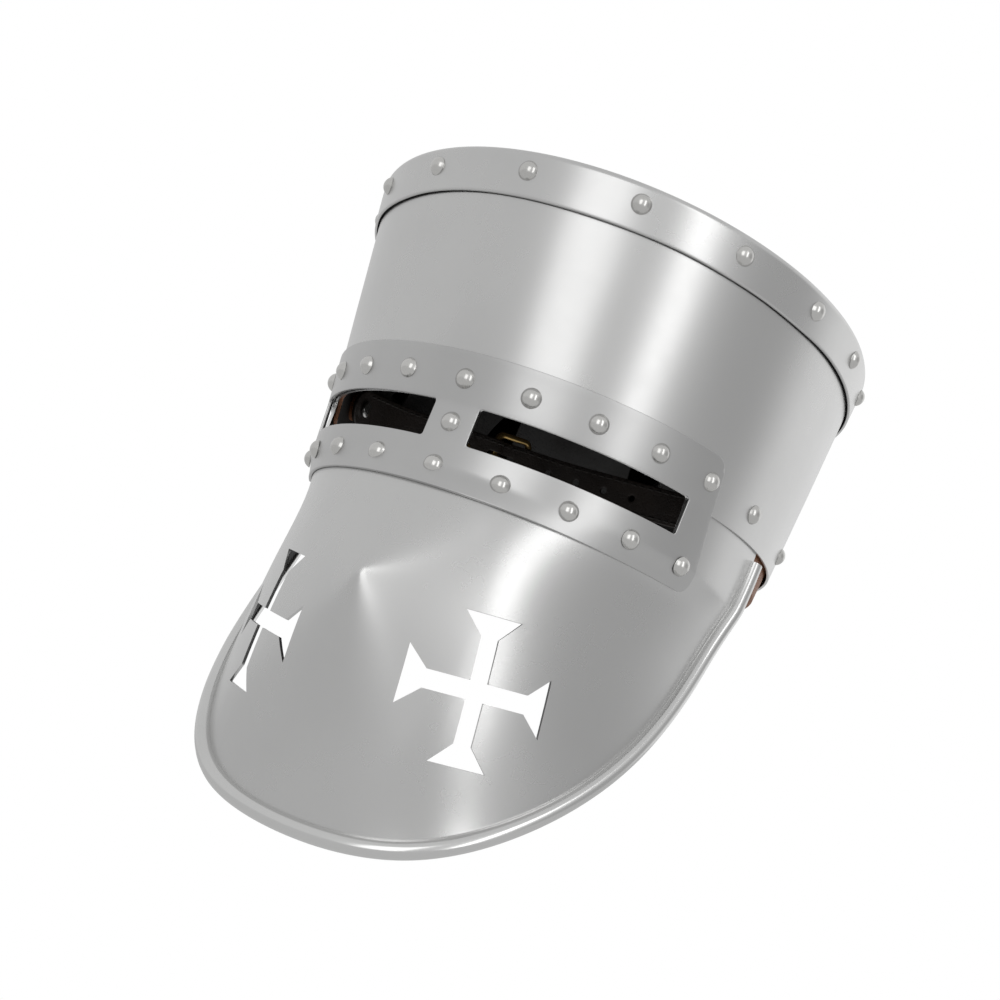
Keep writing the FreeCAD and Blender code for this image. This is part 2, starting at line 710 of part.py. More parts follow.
def chin_strap_long():
    tail = [(24.0, MAIN_W), (17.0, MAIN_W), (2.2, TAIL_TOP), (-2.2, TAIL_TOP),
            (-15.5, TAIL_MID), (-24.0, TAIL_MID), (-28.0, TAIL_LOW), (TAIL_TIP, TAIL_LOW)]
    body = rounded([(STRAP_SIDE, -STRAP_END - 1.0), KNEE, CHIN, (-CHIN[0], CHIN[1]),
                    buckle(24.0, MAIN_W)], (KNEE_ROUND, CHIN_ROUND, CHIN_ROUND))
    path = body[:-1] + [buckle(u, w) for u, w in tail]
    strap = ribbon(path, STRAP_THICK, STRAP_WIDTH)
    strap = strap.cut([strap_eye(1), square_end(1)])
    return strap.cut(slot(1.2, 12.8, SLOT_HALF))


FOLD_REACH = FOLD_THICK / 2 + BAR_RADIUS + FOLD_GAP      # bar's middle to the fold's middle
FOLD_LAID = -FOLD_REACH + FOLD_THICK + 0.1               # folded end lying on the strap


def chin_strap_short():
    bend = [(FOLD_REACH * math.cos(math.radians(a)), FOLD_REACH * math.sin(math.radians(a)))
            for a in range(-90, 91, 20)]
    fold = [buckle(u, w) for u, w in [(-39.0, -FOLD_REACH)] + bend
            + [(-15.0, FOLD_LAID), (-23.0, FOLD_LAID)]]
    head = rounded([(-STRAP_SIDE, -STRAP_END - 1.0), (-KNEE[0], KNEE[1]), fold[0]], (KNEE_ROUND,))
    strap = ribbon(head[:-1] + fold, FOLD_THICK, STRAP_WIDTH)
    strap = strap.cut([strap_eye(-1), square_end(-1), fold_rivet(FIT)])
    return strap.cut(slot(-5.0, 6.0, SLOT_HALF + 0.2))


def fold_rivet(room=0.0):
    start = plane_point(*buckle(FOLD_RIVET_AT, -FOLD_REACH - FOLD_THICK / 2))
    stop = plane_point(*buckle(FOLD_RIVET_AT, FOLD_LAID + FOLD_THICK / 2))
    radius = FOLD_RIVET_RADIUS + room
    return Part.makeCylinder(radius, start.distanceToPoint(stop), start, stop - start)


def buckle_frame():
    far = buckle_rod(((FRAME_LONG, 0), (FRAME_LONG, 0)), BAR_RADIUS, (-FRAME_HALF, FRAME_HALF))
    bar = buckle_rod(((0, 0), (0, 0)), BAR_RADIUS, (-FRAME_HALF, FRAME_HALF))
    sides = [buckle_rod(((0, 0), (FRAME_LONG, 0)), BAR_RADIUS, (v, v))
             for v in (-FRAME_HALF, FRAME_HALF)]
    return far.fuse([bar] + sides)


def buckle_prong():
    reach = buckle_rod(((2.2, 0.4), (FRAME_LONG + 1.5, BAR_RADIUS + PRONG_RADIUS + 0.25)),
                       PRONG_RADIUS)
    eye = Part.makeCylinder(BAR_RADIUS + PRONG_EYE_WALL, PRONG_EYE_LONG,
                            plane_point(*buckle(0, 0), -PRONG_EYE_LONG / 2), V(0, 1, 0))
    hole = Part.makeCylinder(BAR_RADIUS + FIT, 8.0, plane_point(*buckle(0, 0), -4), V(0, 1, 0))
    return reach.fuse(eye).cut(hole)


def strap_keeper():
    low = -FOLD_REACH - FOLD_THICK / 2 - 0.3
    high = TAIL_LOW + STRAP_THICK / 2 + 0.4
    outer = slot(KEEPER_AT - KEEPER_LONG / 2, KEEPER_AT + KEEPER_LONG / 2,
                 STRAP_WIDTH / 2 + 0.5 + KEEPER_WALL, low - KEEPER_WALL, high + KEEPER_WALL)
    inner = slot(KEEPER_AT - KEEPER_LONG, KEEPER_AT + KEEPER_LONG, STRAP_WIDTH / 2 + 0.5, low, high)
    return outer.cut(inner)


def strap_rivet(sign):
    """Side rivet: outside head, shank across to the strap and a set tail."""
    point, normal = at_side(STRAP_Y)[0 if sign < 0 else 1]
    head = rivet(point, normal, LINER_GRIP, tail=False)
    inner = STRAP_SIDE - STRAP_THICK / 2 - 0.4
    pin = Part.makeCylinder(RIVET_SHANK, point.x * sign - inner - 3.0, V(sign * inner, point.y, point.z),
                            V(sign, 0, 0))
    tail = Part.makeCylinder(TAIL_DISC, 1.0, V(sign * (inner - 1.0), point.y, point.z),
                             V(sign, 0, 0))
    return head.fuse([pin, tail])


def strap_spacers():
    """Leather pads that carry each strap end clear of the headband."""
    pads = []
    for sign in (-1, 1):
        near = STRAP_SIDE + STRAP_THICK / 2 + PAD_GAP
        pad = Part.makeCylinder(PAD_RADIUS, 8.0, V(sign * near, STRAP_Y, TOP_ROW_Z), V(sign, 0, 0))
        pad = pad.common(skull_solid(LINER_LOW, LINER_TOP, -LINER_GRIP - 0.1))
        pads.append(pad.cut(Part.makeCylinder(RIVET_HOLE, 30, V(sign * 80, STRAP_Y, TOP_ROW_Z),
                                              V(sign, 0, 0))))
    return Part.makeCompound(pads)


def stow(shape):
    moved = shape.copy()
    moved.rotate(V(0, STRAP_Y, TOP_ROW_Z), V(1, 0, 0), STRAP_STOW)
    return moved


# ---- the pieces ---------------------------------------------------------
SIGHT_GRIP = SIGHT_SHEET + 2 * SHEET + 4 * FIT
shell_of_tongues = dome(0.0).cut(dome(TONGUE_THICK))

pieces = {
    "crown_plate": crown_plate(),
    "crown_rivets": rivet_group(crown_places(), CROWN_PROUD + SHEET),
    "skull_shell": skull_shell(),
    "back_seam_rivets": rivet_group(lap_places(), 2 * SHEET),
    "sight_plate": sight_plate(),
    "sight_top_rivets": rivet_group(top_places(), SIGHT_OUT + LINER_GRIP),
    "sight_bottom_rivets": rivet_group(low_places(), LOW_OUT + SHEET),
    "sight_centre_rivet": rivet(*mid_place(), SIGHT_GRIP),
    "face_plate": face_plate(),
    "rim_wire": rim_wire(),
    "liner_band": liner_band(),
    "liner_rivets": rivet_group(liner_places(), LINER_GRIP + BURR_SEAT + BURR_THICK),
    "liner_rivet_burrs": burrs(),
    "liner_lace": liner_lace(),
    "strap_spacers": strap_spacers(),
    "strap_rivet_right": strap_rivet(1),
    "strap_rivet_left": strap_rivet(-1),
    "chin_strap_long": stow(chin_strap_long()),
    "chin_strap_short": stow(chin_strap_short()),
    "strap_fold_rivet": stow(fold_rivet()),
    "buckle_frame": stow(buckle_frame()),
    "buckle_prong": stow(buckle_prong()),
    "strap_keeper": stow(strap_keeper()),
}
for number in range(TONGUES):
    pieces["liner_tongue_%d" % (number + 1)] = tongue(shell_of_tongues, number)

for name, shape in pieces.items():
    print("%-22s solids %2d valid %s volume %9.1f" % (name, len(shape.Solids), shape.isValid(),
                                                     shape.Volume))
    shape.exportStep("parts/%s.step" % name)

axis_low = stow(Part.Vertex(plane_point(*buckle(0, 0))))
print("buckle bar", axis_low.Point, "rim length", rim_path().length(), "chin", chin_height())
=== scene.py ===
"""Looks of a flat-topped riveted helm, dressed over its packed design."""

import json
import logging
import math
from dataclasses import dataclass, field
from enum import Enum
from typing import Callable, Iterable, Sequence

import bpy
import bmesh
import numpy as np
from mathutils import Matrix, Vector
from mathutils.geometry import delaunay_2d_cdt

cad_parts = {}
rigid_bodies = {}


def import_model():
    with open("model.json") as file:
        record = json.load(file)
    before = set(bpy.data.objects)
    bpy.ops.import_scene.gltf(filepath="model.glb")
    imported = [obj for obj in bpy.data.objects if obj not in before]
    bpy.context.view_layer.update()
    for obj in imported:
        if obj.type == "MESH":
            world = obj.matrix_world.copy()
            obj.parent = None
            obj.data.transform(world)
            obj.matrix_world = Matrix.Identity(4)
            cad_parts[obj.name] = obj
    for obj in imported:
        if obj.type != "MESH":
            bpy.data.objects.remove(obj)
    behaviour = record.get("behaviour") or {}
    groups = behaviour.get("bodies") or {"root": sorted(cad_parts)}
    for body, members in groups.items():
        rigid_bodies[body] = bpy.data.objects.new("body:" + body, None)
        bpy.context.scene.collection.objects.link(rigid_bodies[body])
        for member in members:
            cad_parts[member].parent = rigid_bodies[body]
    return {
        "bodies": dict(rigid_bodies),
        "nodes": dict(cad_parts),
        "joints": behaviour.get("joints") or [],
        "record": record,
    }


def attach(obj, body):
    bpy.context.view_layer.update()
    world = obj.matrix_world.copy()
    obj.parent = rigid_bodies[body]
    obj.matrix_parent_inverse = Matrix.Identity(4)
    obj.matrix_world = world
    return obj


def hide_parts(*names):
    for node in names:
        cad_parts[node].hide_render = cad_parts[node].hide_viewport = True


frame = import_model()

log = logging.getLogger("helm")
MM = 0.001                      # sizes below are in millimetres, meshes in metres
SLIVER = 0.02                   # flat triangles thinner than this are dropped
FLAT_TOP = 0.9                  # faces looking up more than this get the darker top copy of the steel
FULL_TURN = 2 * math.pi
UP = np.array([0.0, 0.0, 1.0])
Array = np.ndarray


# ---- small helpers ------------------------------------------------------
def unit(vectors: Array) -> Array:
    """Vectors scaled to length one."""
    vectors = np.asarray(vectors, float)
    return vectors / np.maximum(np.linalg.norm(vectors, axis=-1, keepdims=True), 1e-12)


def smoothstep(value: Array, low: float, high: float) -> Array:
    """Smooth rise from 0 at low to 1 at high."""
    share = np.clip((np.asarray(value, float) - low) / (high - low), 0.0, 1.0)
    return share * share * (3 - 2 * share)


def ripple(points: Array, wave: float, seed: int) -> Array:
    """Gentle unevenness, about -1 to 1, made of a few crossing waves.

    Args:
        points: Places in millimetres, shape (..., 3).
        wave: Mean wavelength in millimetres.
        seed: Fixes the waves' directions and phases.

    Returns:
        One value for each place.
    """
    rng = np.random.default_rng(seed)
    total = np.zeros(points.shape[:-1])
    for _ in range(9):
        heading = unit(rng.normal(size=3))
        length = wave * rng.uniform(0.6, 1.6)
        total += np.sin(points @ heading * (FULL_TURN / length) + rng.uniform(0, FULL_TURN))
    return total / 4.0


def mesh_piece(name: str, points: Array, faces: Sequence[Sequence[int]],
               uv: Array | None = None) -> bpy.types.Object:
    """Makes a smooth-shaded mesh object from places in millimetres.

    Args:
        name: Object name.
        points: Vertex places, shape (n, 3).
        faces: Vertex indices of each face.
        uv: Optional place of each vertex in the UV map, shape (n, 2).

    Returns:
        The new object, linked to the scene.
    """
    mesh = bpy.data.meshes.new(name)
    mesh.from_pydata((np.asarray(points, float) * MM).tolist(), [], [tuple(f) for f in faces])
    if uv is not None:
        layer = mesh.uv_layers.new(name="UVMap")
        corner = np.zeros(len(mesh.loops), np.int32)
        mesh.loops.foreach_get("vertex_index", corner)
        layer.data.foreach_set("uv", np.asarray(uv, np.float32)[corner].ravel())
    mesh.shade_smooth()
    piece = bpy.data.objects.new(name, mesh)
    bpy.context.scene.collection.objects.link(piece)
    return piece


def grid_faces(rows: int, cols: int, wrap_rows: bool = False, wrap_cols: bool = False,
               keep: Callable[[int, int], bool] | None = None) -> list[tuple[int, ...]]:
    """Quads of a grid of rows times cols vertices.

    Args:
        rows: Number of vertex rows.
        cols: Number of vertices in a row.
        wrap_rows: Joins the last row to the first.
        wrap_cols: Joins each row's last vertex to its first.
        keep: Says whether the cell at (row, col) is kept.

    Returns:
        The faces, turned so that rows cross cols points outwards.
    """
    faces = []
    for r in range(rows if wrap_rows else rows - 1):
        for c in range(cols if wrap_cols else cols - 1):
            if keep is None or keep(r, c):
                below, beside = (r + 1) % rows, (c + 1) % cols
                faces.append((r * cols + c, r * cols + beside, below * cols + beside,
                              below * cols + c))
    return faces


def tidy(piece: bpy.types.Object, sharp: float | None = 40.0,
         merge: float = 0.004) -> bpy.types.Object:
    """Merges doubled vertices, turns faces outwards and marks sharp edges.

    Args:
        piece: Mesh object to clean.
        sharp: Edges bent by more than this many degrees are sharp; None leaves all smooth.
        merge: Merging distance in millimetres.

    Returns:
        The same object.
    """
    work = bmesh.new()
    work.from_mesh(piece.data)
    bmesh.ops.remove_doubles(work, verts=work.verts, dist=merge * MM)
    bmesh.ops.recalc_face_normals(work, faces=work.faces)
    work.to_mesh(piece.data)
    work.free()
    piece.data.shade_smooth()
    if sharp is not None:
        piece.data.set_sharp_from_angle(angle=math.radians(sharp))
    return piece


def freeze(piece: bpy.types.Object) -> bpy.types.Object:
    """Applies all of a piece's modifiers."""
    graph = bpy.context.evaluated_depsgraph_get()
    baked = bpy.data.meshes.new_from_object(piece.evaluated_get(graph))
    piece.modifiers.clear()
    piece.data = baked
    baked.name = piece.name
    return piece


def even_shading(piece: bpy.types.Object) -> None:
    """Keeps a sheet's broad faces smooth right up to its eased edges."""
    piece.data.shade_smooth()
    shade = piece.modifiers.new("even_shading", "WEIGHTED_NORMAL")
    shade.mode = "FACE_AREA"
    shade.weight = 100
    shade.thresh = 0.01


def sheet_edges(piece: bpy.types.Object, thick: float, bevel: float) -> bpy.types.Object:
    """Gives a surface its gauge inwards, with eased edges.

    Args:
        piece: Open surface whose faces point outwards.
        thick: Gauge in millimetres.
        bevel: Width of the eased edge in millimetres.

    Returns:
        The same object, made solid.
    """
    wall = piece.modifiers.new("gauge", "SOLIDIFY")
    wall.thickness = thick * MM
    wall.offset = -1.0
    wall.use_even_offset = True
    ease = piece.modifiers.new("eased_edge", "BEVEL")
    ease.width = bevel * MM
    ease.segments = 2
    ease.limit_method = "ANGLE"
    ease.angle_limit = math.radians(50)
    even_shading(piece)
    return freeze(piece)


def sweep(centres: Array, ups: Array, ring: Array, closed: bool = False) -> tuple[Array, Array]:
    """Carries a flat section along a line.

    Args:
        centres: Places along the line, shape (n, 3).
        ups: Direction of the section's second axis at each place.
        ring: Section outline as (across, up) pairs, or one outline for each place.
        closed: Whether the line is a loop.

    Returns:
        The vertices in rows of one ring each, and the headings along the line.
    """
    if closed:
        headings = unit(np.roll(centres, -1, 0) - np.roll(centres, 1, 0))
    else:
        headings = unit(np.gradient(centres, axis=0))
    across = unit(np.cross(headings, ups))
    lifted = unit(np.cross(across, headings))
    rings = np.broadcast_to(ring, (len(centres), *np.asarray(ring).shape[-2:]))
    points = (centres[:, None] + across[:, None] * rings[..., :1] + lifted[:, None] * rings[..., 1:])
    return points, headings


def rod(name: str, points: Array, closed: bool = False) -> bpy.types.Object:
    """Mesh of swept rings, with its ends closed unless it is a loop."""
    rows, cols = points.shape[:2]
    faces = grid_faces(rows, cols, wrap_rows=closed, wrap_cols=True)
    flat = points.reshape(-1, 3)
    if not closed:
        faces += [tuple(range(cols)), tuple(range((rows - 1) * cols, rows * cols))[::-1]]
    return tidy(mesh_piece(name, flat, faces))


def circle(radius: float, steps: int = 16) -> Array:
    """Round section outline."""
    angle = np.arange(steps) * FULL_TURN / steps
    return np.stack([np.cos(angle), np.sin(angle)], 1) * radius


def rounded_bar(width: float, height: float, radius: float, steps: int = 3) -> Array:
    """Rectangular section outline with rounded corners."""
    outline = []
    for quarter, (sx, sy) in enumerate(((1, 1), (-1, 1), (-1, -1), (1, -1))):
        for k in range(steps + 1):
            angle = math.radians(90 * quarter + 90 * k / steps)
            outline.append((sx * (width / 2 - radius) + radius * math.cos(angle),
                            sy * (height / 2 - radius) + radius * math.sin(angle)))
    return np.array(outline)


# ---- guiding surfaces ---------------------------------------------------
@dataclass(frozen=True)
class HelmForm:
    """The curves and heights that every part of the helm follows, in millimetres."""

    sheet: float = 1.2
    sight_sheet: float = 1.4
    crown_sheet: float = 1.4
    rim_side: float = 103.9
    rim_front: float = 118.1
    rim_back: float = 133.0
    flare_side: float = 0.103
    flare_front: float = 0.168
    flare_back: float = 0.148
    crown_top: float = 103.8
    crown_edge: float = 84.4
    crown_proud: float = 2.1
    crown_row: float = 94.9
    top_row: float = 11.2
    low_row: float = -24.4
    face_side: float = 103.4
    face_front: float = 119.0
    face_centre: float = 7.0
    nose_z: float = -75.3
    nose_rise: float = 10.5
    nose_half_width: float = 40.0
    nose_above: float = 46.0
    nose_below: float = 80.0
    sight_top: float = 22.0
    sight_low: float = -33.5
    sight_gap: float = 0.15
    slit_top: float = 1.4
    slit_low: float = -14.4
    slit_near: float = 9.6
    slit_far: float = 85.5

    def skull(self, turn: Array, z: Array, out: Array = 0.0) -> Array:
        """Places on the skull's outer face.

        Args:
            turn: Angle round from the front, in radians.
            z: Height.
            out: Distance outside the face.

        Returns:
            Places, shape (..., 3).
        """
        turn, z, out = np.broadcast_arrays(np.asarray(turn, float), z, out)
        side = self.rim_side + self.flare_side * z + out
        front = self.rim_front + self.flare_front * z + out
        back = self.rim_back + self.flare_back * z + out
        reach = np.where(np.cos(turn) > 0, front, back)
        return np.stack([side * np.sin(turn), -reach * np.cos(turn), z], -1)

    def face_axes(self, z: Array) -> tuple[Array, Array, Array]:
        """Half width, front reach and centre of the face plate's sections."""
        z = np.asarray(z, float)
        inset = -self.sheet - 0.05
        top_side = self.rim_side + self.flare_side * np.maximum(z, 0) + inset
        top_front = self.rim_front + self.flare_front * np.maximum(z, 0) + inset
        share = np.clip(z / self.low_row, 0, 1)
        drop = np.maximum(self.low_row - z, 0) / 100.0
        side = top_side + share * (self.face_side - top_side)
        front = top_front + share * (self.face_front - top_front)
        return (side + 57.0 * drop - 29.6 * drop ** 3,
                front + 55.4 * drop - 56.9 * drop ** 2 + 13.7 * drop ** 3,
                share * self.face_centre + 473.7 * drop - 351.1 * drop ** 2)

    def nose(self, x: Array, z: Array) -> Array:
        """Extra forward reach of the nose peak."""
        tall = np.where(z > self.nose_z, self.nose_above, self.nose_below)
        away = np.hypot(x / self.nose_half_width, (z - self.nose_z) / tall)
        return self.nose_rise * np.maximum(0.0, 1.0 - away) ** 2

    def face(self, turn: Array, z: Array, out: Array = 0.0) -> Array:
        """Places on the face plate's outer face, from the same arguments as skull."""
        turn, z, out = np.broadcast_arrays(np.asarray(turn, float), z, out)
        side, front, centre = self.face_axes(z)
        x = (side + out) * np.sin(turn)
        y = centre - (centre + front + out) * np.cos(turn) - self.nose(x, z)
        return np.stack([x, y, z], -1)

    def face_turn(self, z: Array, y: Array) -> Array:
        """Angle at which a face plate section reaches the plane y."""
        _, front, centre = self.face_axes(z)
        return np.arccos(np.clip((centre - y) / (centre + front), -1, 1))

    def sight(self, turn: Array, z: Array, out: Array = 0.0) -> Array:
        """Places on the sight plate's inner face, from the same arguments as skull."""
        turn, z, out = np.broadcast_arrays(np.asarray(turn, float), z, out)
        share = np.clip(z / self.low_row, 0, 1)
        lift = (self.sheet + 0.1) * (1.0 - share) + self.sight_gap * share
        above = self.skull(turn, z, out + 0.05)
        below = self.face(turn, np.minimum(z, 0), out + lift)
        return np.where((z >= 0)[..., None], above, below)

    def rim_y(self, z: Array) -> Array:
        """Side view of the face plate's rear edge."""
        return -8.4 + 0.106 * z - 0.00327 * z ** 2

    def chin(self) -> float:
        """Height at which the rear edge meets the front of the face plate."""
        low, high = -200.0, -150.0
        for _ in range(50):
            middle = 0.5 * (low + high)
            if self.rim_y(middle) > self.face(0.0, middle)[1]:
                high = middle
            else:
                low = middle
        return 0.5 * (low + high)

    def upright_turn(self, surface: Callable[..., Array], aim: Array, z: Array,
                     out: float) -> Array:
        """Turn at which a surface meets an upright cut made square to the skull's edge.

        Args:
            surface: One of face or sight.
            aim: Angle of the cut round the skull's edge, in radians.
            z: Height.
            out: Distance outside the surface.

        Returns:
            The turns, signed as the aims.
        """
        size = np.abs(aim)
        start = self.skull(size, np.zeros_like(size))
        along = np.stack([self.rim_side * np.cos(size), self.rim_front * np.sin(size)], -1)
        low, high = size - 0.4, size + 0.4
        for _ in range(32):
            middle = 0.5 * (low + high)
            offset = (surface(middle, z, out) - start)[..., :2]
            past = np.sum(offset * along, -1) > 0
            low, high = np.where(past, low, middle), np.where(past, middle, high)
        return 0.5 * (low + high) * np.sign(aim)

    def normals(self, surface: Callable[..., Array], turn: Array, z: Array, out: float) -> Array:
        """Outward normals of one of the surfaces above."""
        step = 1e-3
        along = surface(turn + step, z, out) - surface(turn - step, z, out)
        rise = surface(turn, z + 0.5, out) - surface(turn, z - 0.5, out)
        return unit(np.cross(along, rise))

    def spaced(self, surface: Callable[..., Array], z: float, out: float,
               distances: Array) -> tuple[Array, Array]:
        """Places and normals at distances round a surface from its front.

        Args:
            surface: One of skull, face or sight.
            z: Height of the row.
            out: Distance outside the surface.
            distances: Signed distances from the front, in millimetres.

        Returns:
            Places and normals, shape (n, 3) each.
        """
        turns = np.linspace(0, math.pi, 4001)
        line = surface(turns, z, out)
        gone = np.concatenate([[0], np.cumsum(np.linalg.norm(np.diff(line, axis=0), axis=1))])
        turn = np.interp(np.abs(distances), gone, turns) * np.sign(distances)
        return surface(turn, z, out), self.normals(surface, turn, np.full(turn.shape, z), out)


FORM = HelmForm()


# ---- cut sheet panels ---------------------------------------------------
def even_odd(points: Array, loops: Iterable[Array]) -> Array:
    """Whether each flat point is inside the loops, by the even-odd rule."""
    inside = np.zeros(len(points), bool)
    px, py = points[:, :1], points[:, 1:]
    for loop in loops:
        a, b = loop, np.roll(loop, -1, 0)
        crosses = (a[:, 1] > py) != (b[:, 1] > py)
        rise = np.where(b[:, 1] == a[:, 1], 1e-9, b[:, 1] - a[:, 1])
        at = a[:, 0] + (py - a[:, 1]) / rise * (b[:, 0] - a[:, 0])
        inside ^= (np.sum(crosses & (px < at), axis=1) % 2).astype(bool)
    return inside


def resampled(loop: Array, step: float) -> Array:
    """Closed loop with points added so that none is further than step from the next."""
    points = []
    for a, b in zip(loop, np.roll(loop, -1, 0)):
        parts = max(1, int(math.ceil(np.linalg.norm(b - a) / step)))
        points += [a + (b - a) * k / parts for k in range(parts)]
    return np.array(points)


def rounded_box(low: Sequence[float], high: Sequence[float], radius: float) -> Array:
    """Outline of a flat rectangle with rounded corners."""
    size = np.subtract(high, low)
    return rounded_bar(size[0], size[1], radius, 5) + np.add(low, high) / 2


def panel(name: str, outline: Array, holes: Sequence[Array], place: Callable[[Array], Array],
          step: float, edge_step: float | None = None) -> bpy.types.Object:
    """Sheet cut flat with its holes and then bent to shape.

    Args:
        name: Object name.
        outline: Flat outline, in millimetres.
        holes: Flat outlines of the cut-outs.
        place: Turns flat places into places in space.
        step: Spacing of the mesh inside the sheet.
        edge_step: Spacing along the edges; the same if None.

    Returns:
        The open surface, with the flat places as its UV map.
    """
    loops = [resampled(loop, edge_step or step) for loop in (outline, *holes)]
    low, high = outline.min(0), outline.max(0)
    across = np.arange(low[0] + step / 2, high[0], step)
    rows = np.arange(low[1] + step / 2, high[1], step * 0.87)
    inner = np.array([(x + (k % 2) * step / 2, y) for k, y in enumerate(rows) for x in across])
    inner = inner[even_odd(inner, loops)]
    rim = np.concatenate(loops)
    clear = np.ones(len(inner), bool)
    for start in range(0, len(inner), 2000):
        part = inner[start:start + 2000]
        gap = np.min(np.sum((part[:, None] - rim[None]) ** 2, axis=2), axis=1)
        clear[start:start + 2000] = gap > (0.55 * step) ** 2
    inner = inner[clear]
    edges, first = [], 0
    for loop in loops:
        count = len(loop)
        edges += [(first + k, first + (k + 1) % count) for k in range(count)]
        first += count
    flat = np.concatenate([rim, inner])
    places, _, triangles, *_ = delaunay_2d_cdt([Vector(p) for p in flat], edges, [], 0, 1e-5)
    flat = np.array([(p.x, p.y) for p in places])
    triangles = np.array(triangles)
    kept = triangles[even_odd(flat[triangles].mean(1), loops)]
    first_side, last_side = (flat[kept[:, k]] - flat[kept[:, 0]] for k in (1, 2))
    double_area = first_side[:, 0] * last_side[:, 1] - first_side[:, 1] * last_side[:, 0]
    kept = kept[np.abs(double_area) > SLIVER]
    piece = mesh_piece(name, place(flat), kept, flat * MM)
    work = bmesh.new()
    work.from_mesh(piece.data)
    loose = [v for v in work.verts if not v.link_faces]
    bmesh.ops.delete(work, geom=loose, context="VERTS")
    bmesh.ops.recalc_face_normals(work, faces=work.faces)
    work.to_mesh(piece.data)
    work.free()
    return piece


def turn_outwards(piece: bpy.types.Object, outward: Callable[[Array], Array]) -> bpy.types.Object:
    """Flips an open surface whose faces look against a direction.

    Args:
        piece: Open surface with even winding.
        outward: Gives the wanted direction at places in millimetres.

    Returns:
        The same object.
    """
    mesh = piece.data
    count = len(mesh.polygons)
    centre, normal = np.zeros(count * 3), np.zeros(count * 3)
    mesh.polygons.foreach_get("center", centre)
    mesh.polygons.foreach_get("normal", normal)
    wanted = outward(centre.reshape(-1, 3) / MM)
    if np.sum(wanted * normal.reshape(-1, 3)) < 0:
        mesh.flip_normals()
    return piece


def radial(places: Array) -> Array:
    """Level direction away from the helm's middle axis."""
    flat = places * np.array([1.0, 1.0, 0.0])
    return unit(flat)


def joined(name: str, pieces: Sequence[bpy.types.Object]) -> bpy.types.Object:
    """Pieces made one mesh object, keeping their finishes."""
    with bpy.context.temp_override(active_object=pieces[0], object=pieces[0],
                                   selected_objects=list(pieces),
                                   selected_editable_objects=list(pieces)):
        bpy.ops.object.join()
    pieces[0].name = name
    pieces[0].data.name = name
    return pieces[0]


# ---- shader maths -------------------------------------------------------
class Signal:
    """A shader socket that takes part in sums."""

    def __init__(self, tree: bpy.types.NodeTree, socket: bpy.types.NodeSocket) -> None:
        """Wraps an output socket of a tree."""
        self.tree = tree
        self.socket = socket

    def _sum(self, operation: str, first: "Signal | float", second: "Signal | float") -> "Signal":
        """One Math node on two values."""
        node = self.tree.nodes.new("ShaderNodeMath")
        node.operation = operation
        for place, value in zip(node.inputs, (first, second)):
            feed(self.tree, place, value)
        return Signal(self.tree, node.outputs[0])

    def __add__(self, other: "Signal | float") -> "Signal":
        """Sum."""
        return self._sum("ADD", self, other)

    def __sub__(self, other: "Signal | float") -> "Signal":
        """Difference."""
        return self._sum("SUBTRACT", self, other)

    def __rsub__(self, other: float) -> "Signal":
        """Difference from a number."""
        return self._sum("SUBTRACT", other, self)

    def __mul__(self, other: "Signal | float") -> "Signal":
        """Product."""
        return self._sum("MULTIPLY", self, other)

    def __truediv__(self, other: "Signal | float") -> "Signal":
        """Quotient."""
        return self._sum("DIVIDE", self, other)

    __radd__ = __add__
    __rmul__ = __mul__

    def rise(self, low: float, high: float, start: float = 0.0, end: float = 1.0) -> "Signal":
        """Smooth change from start at low to end at high."""
        node = self.tree.nodes.new("ShaderNodeMapRange")
        node.interpolation_type = "SMOOTHSTEP"
        for place, value in zip(node.inputs, (self, low, high, start, end)):
            feed(self.tree, place, value)
        return Signal(self.tree, node.outputs[0])

    def tint(self, low: Sequence[float], high: Sequence[float]) -> "Signal":
        """Colour that goes from low at 0 to high at 1."""
        node = self.tree.nodes.new("ShaderNodeMix")
        node.data_type = "RGBA"
        feed(self.tree, node.inputs[0], self)
        node.inputs[6].default_value = (*low, 1.0)
        node.inputs[7].default_value = (*high, 1.0)
        return Signal(self.tree, node.outputs[2])


def feed(tree: bpy.types.NodeTree, place: bpy.types.NodeSocket, value: "Signal | float") -> None:
    """Links a signal to an input, or sets a number on it."""
    if isinstance(value, Signal):
        tree.links.new(value.socket, place)
    else:
        place.default_value = value


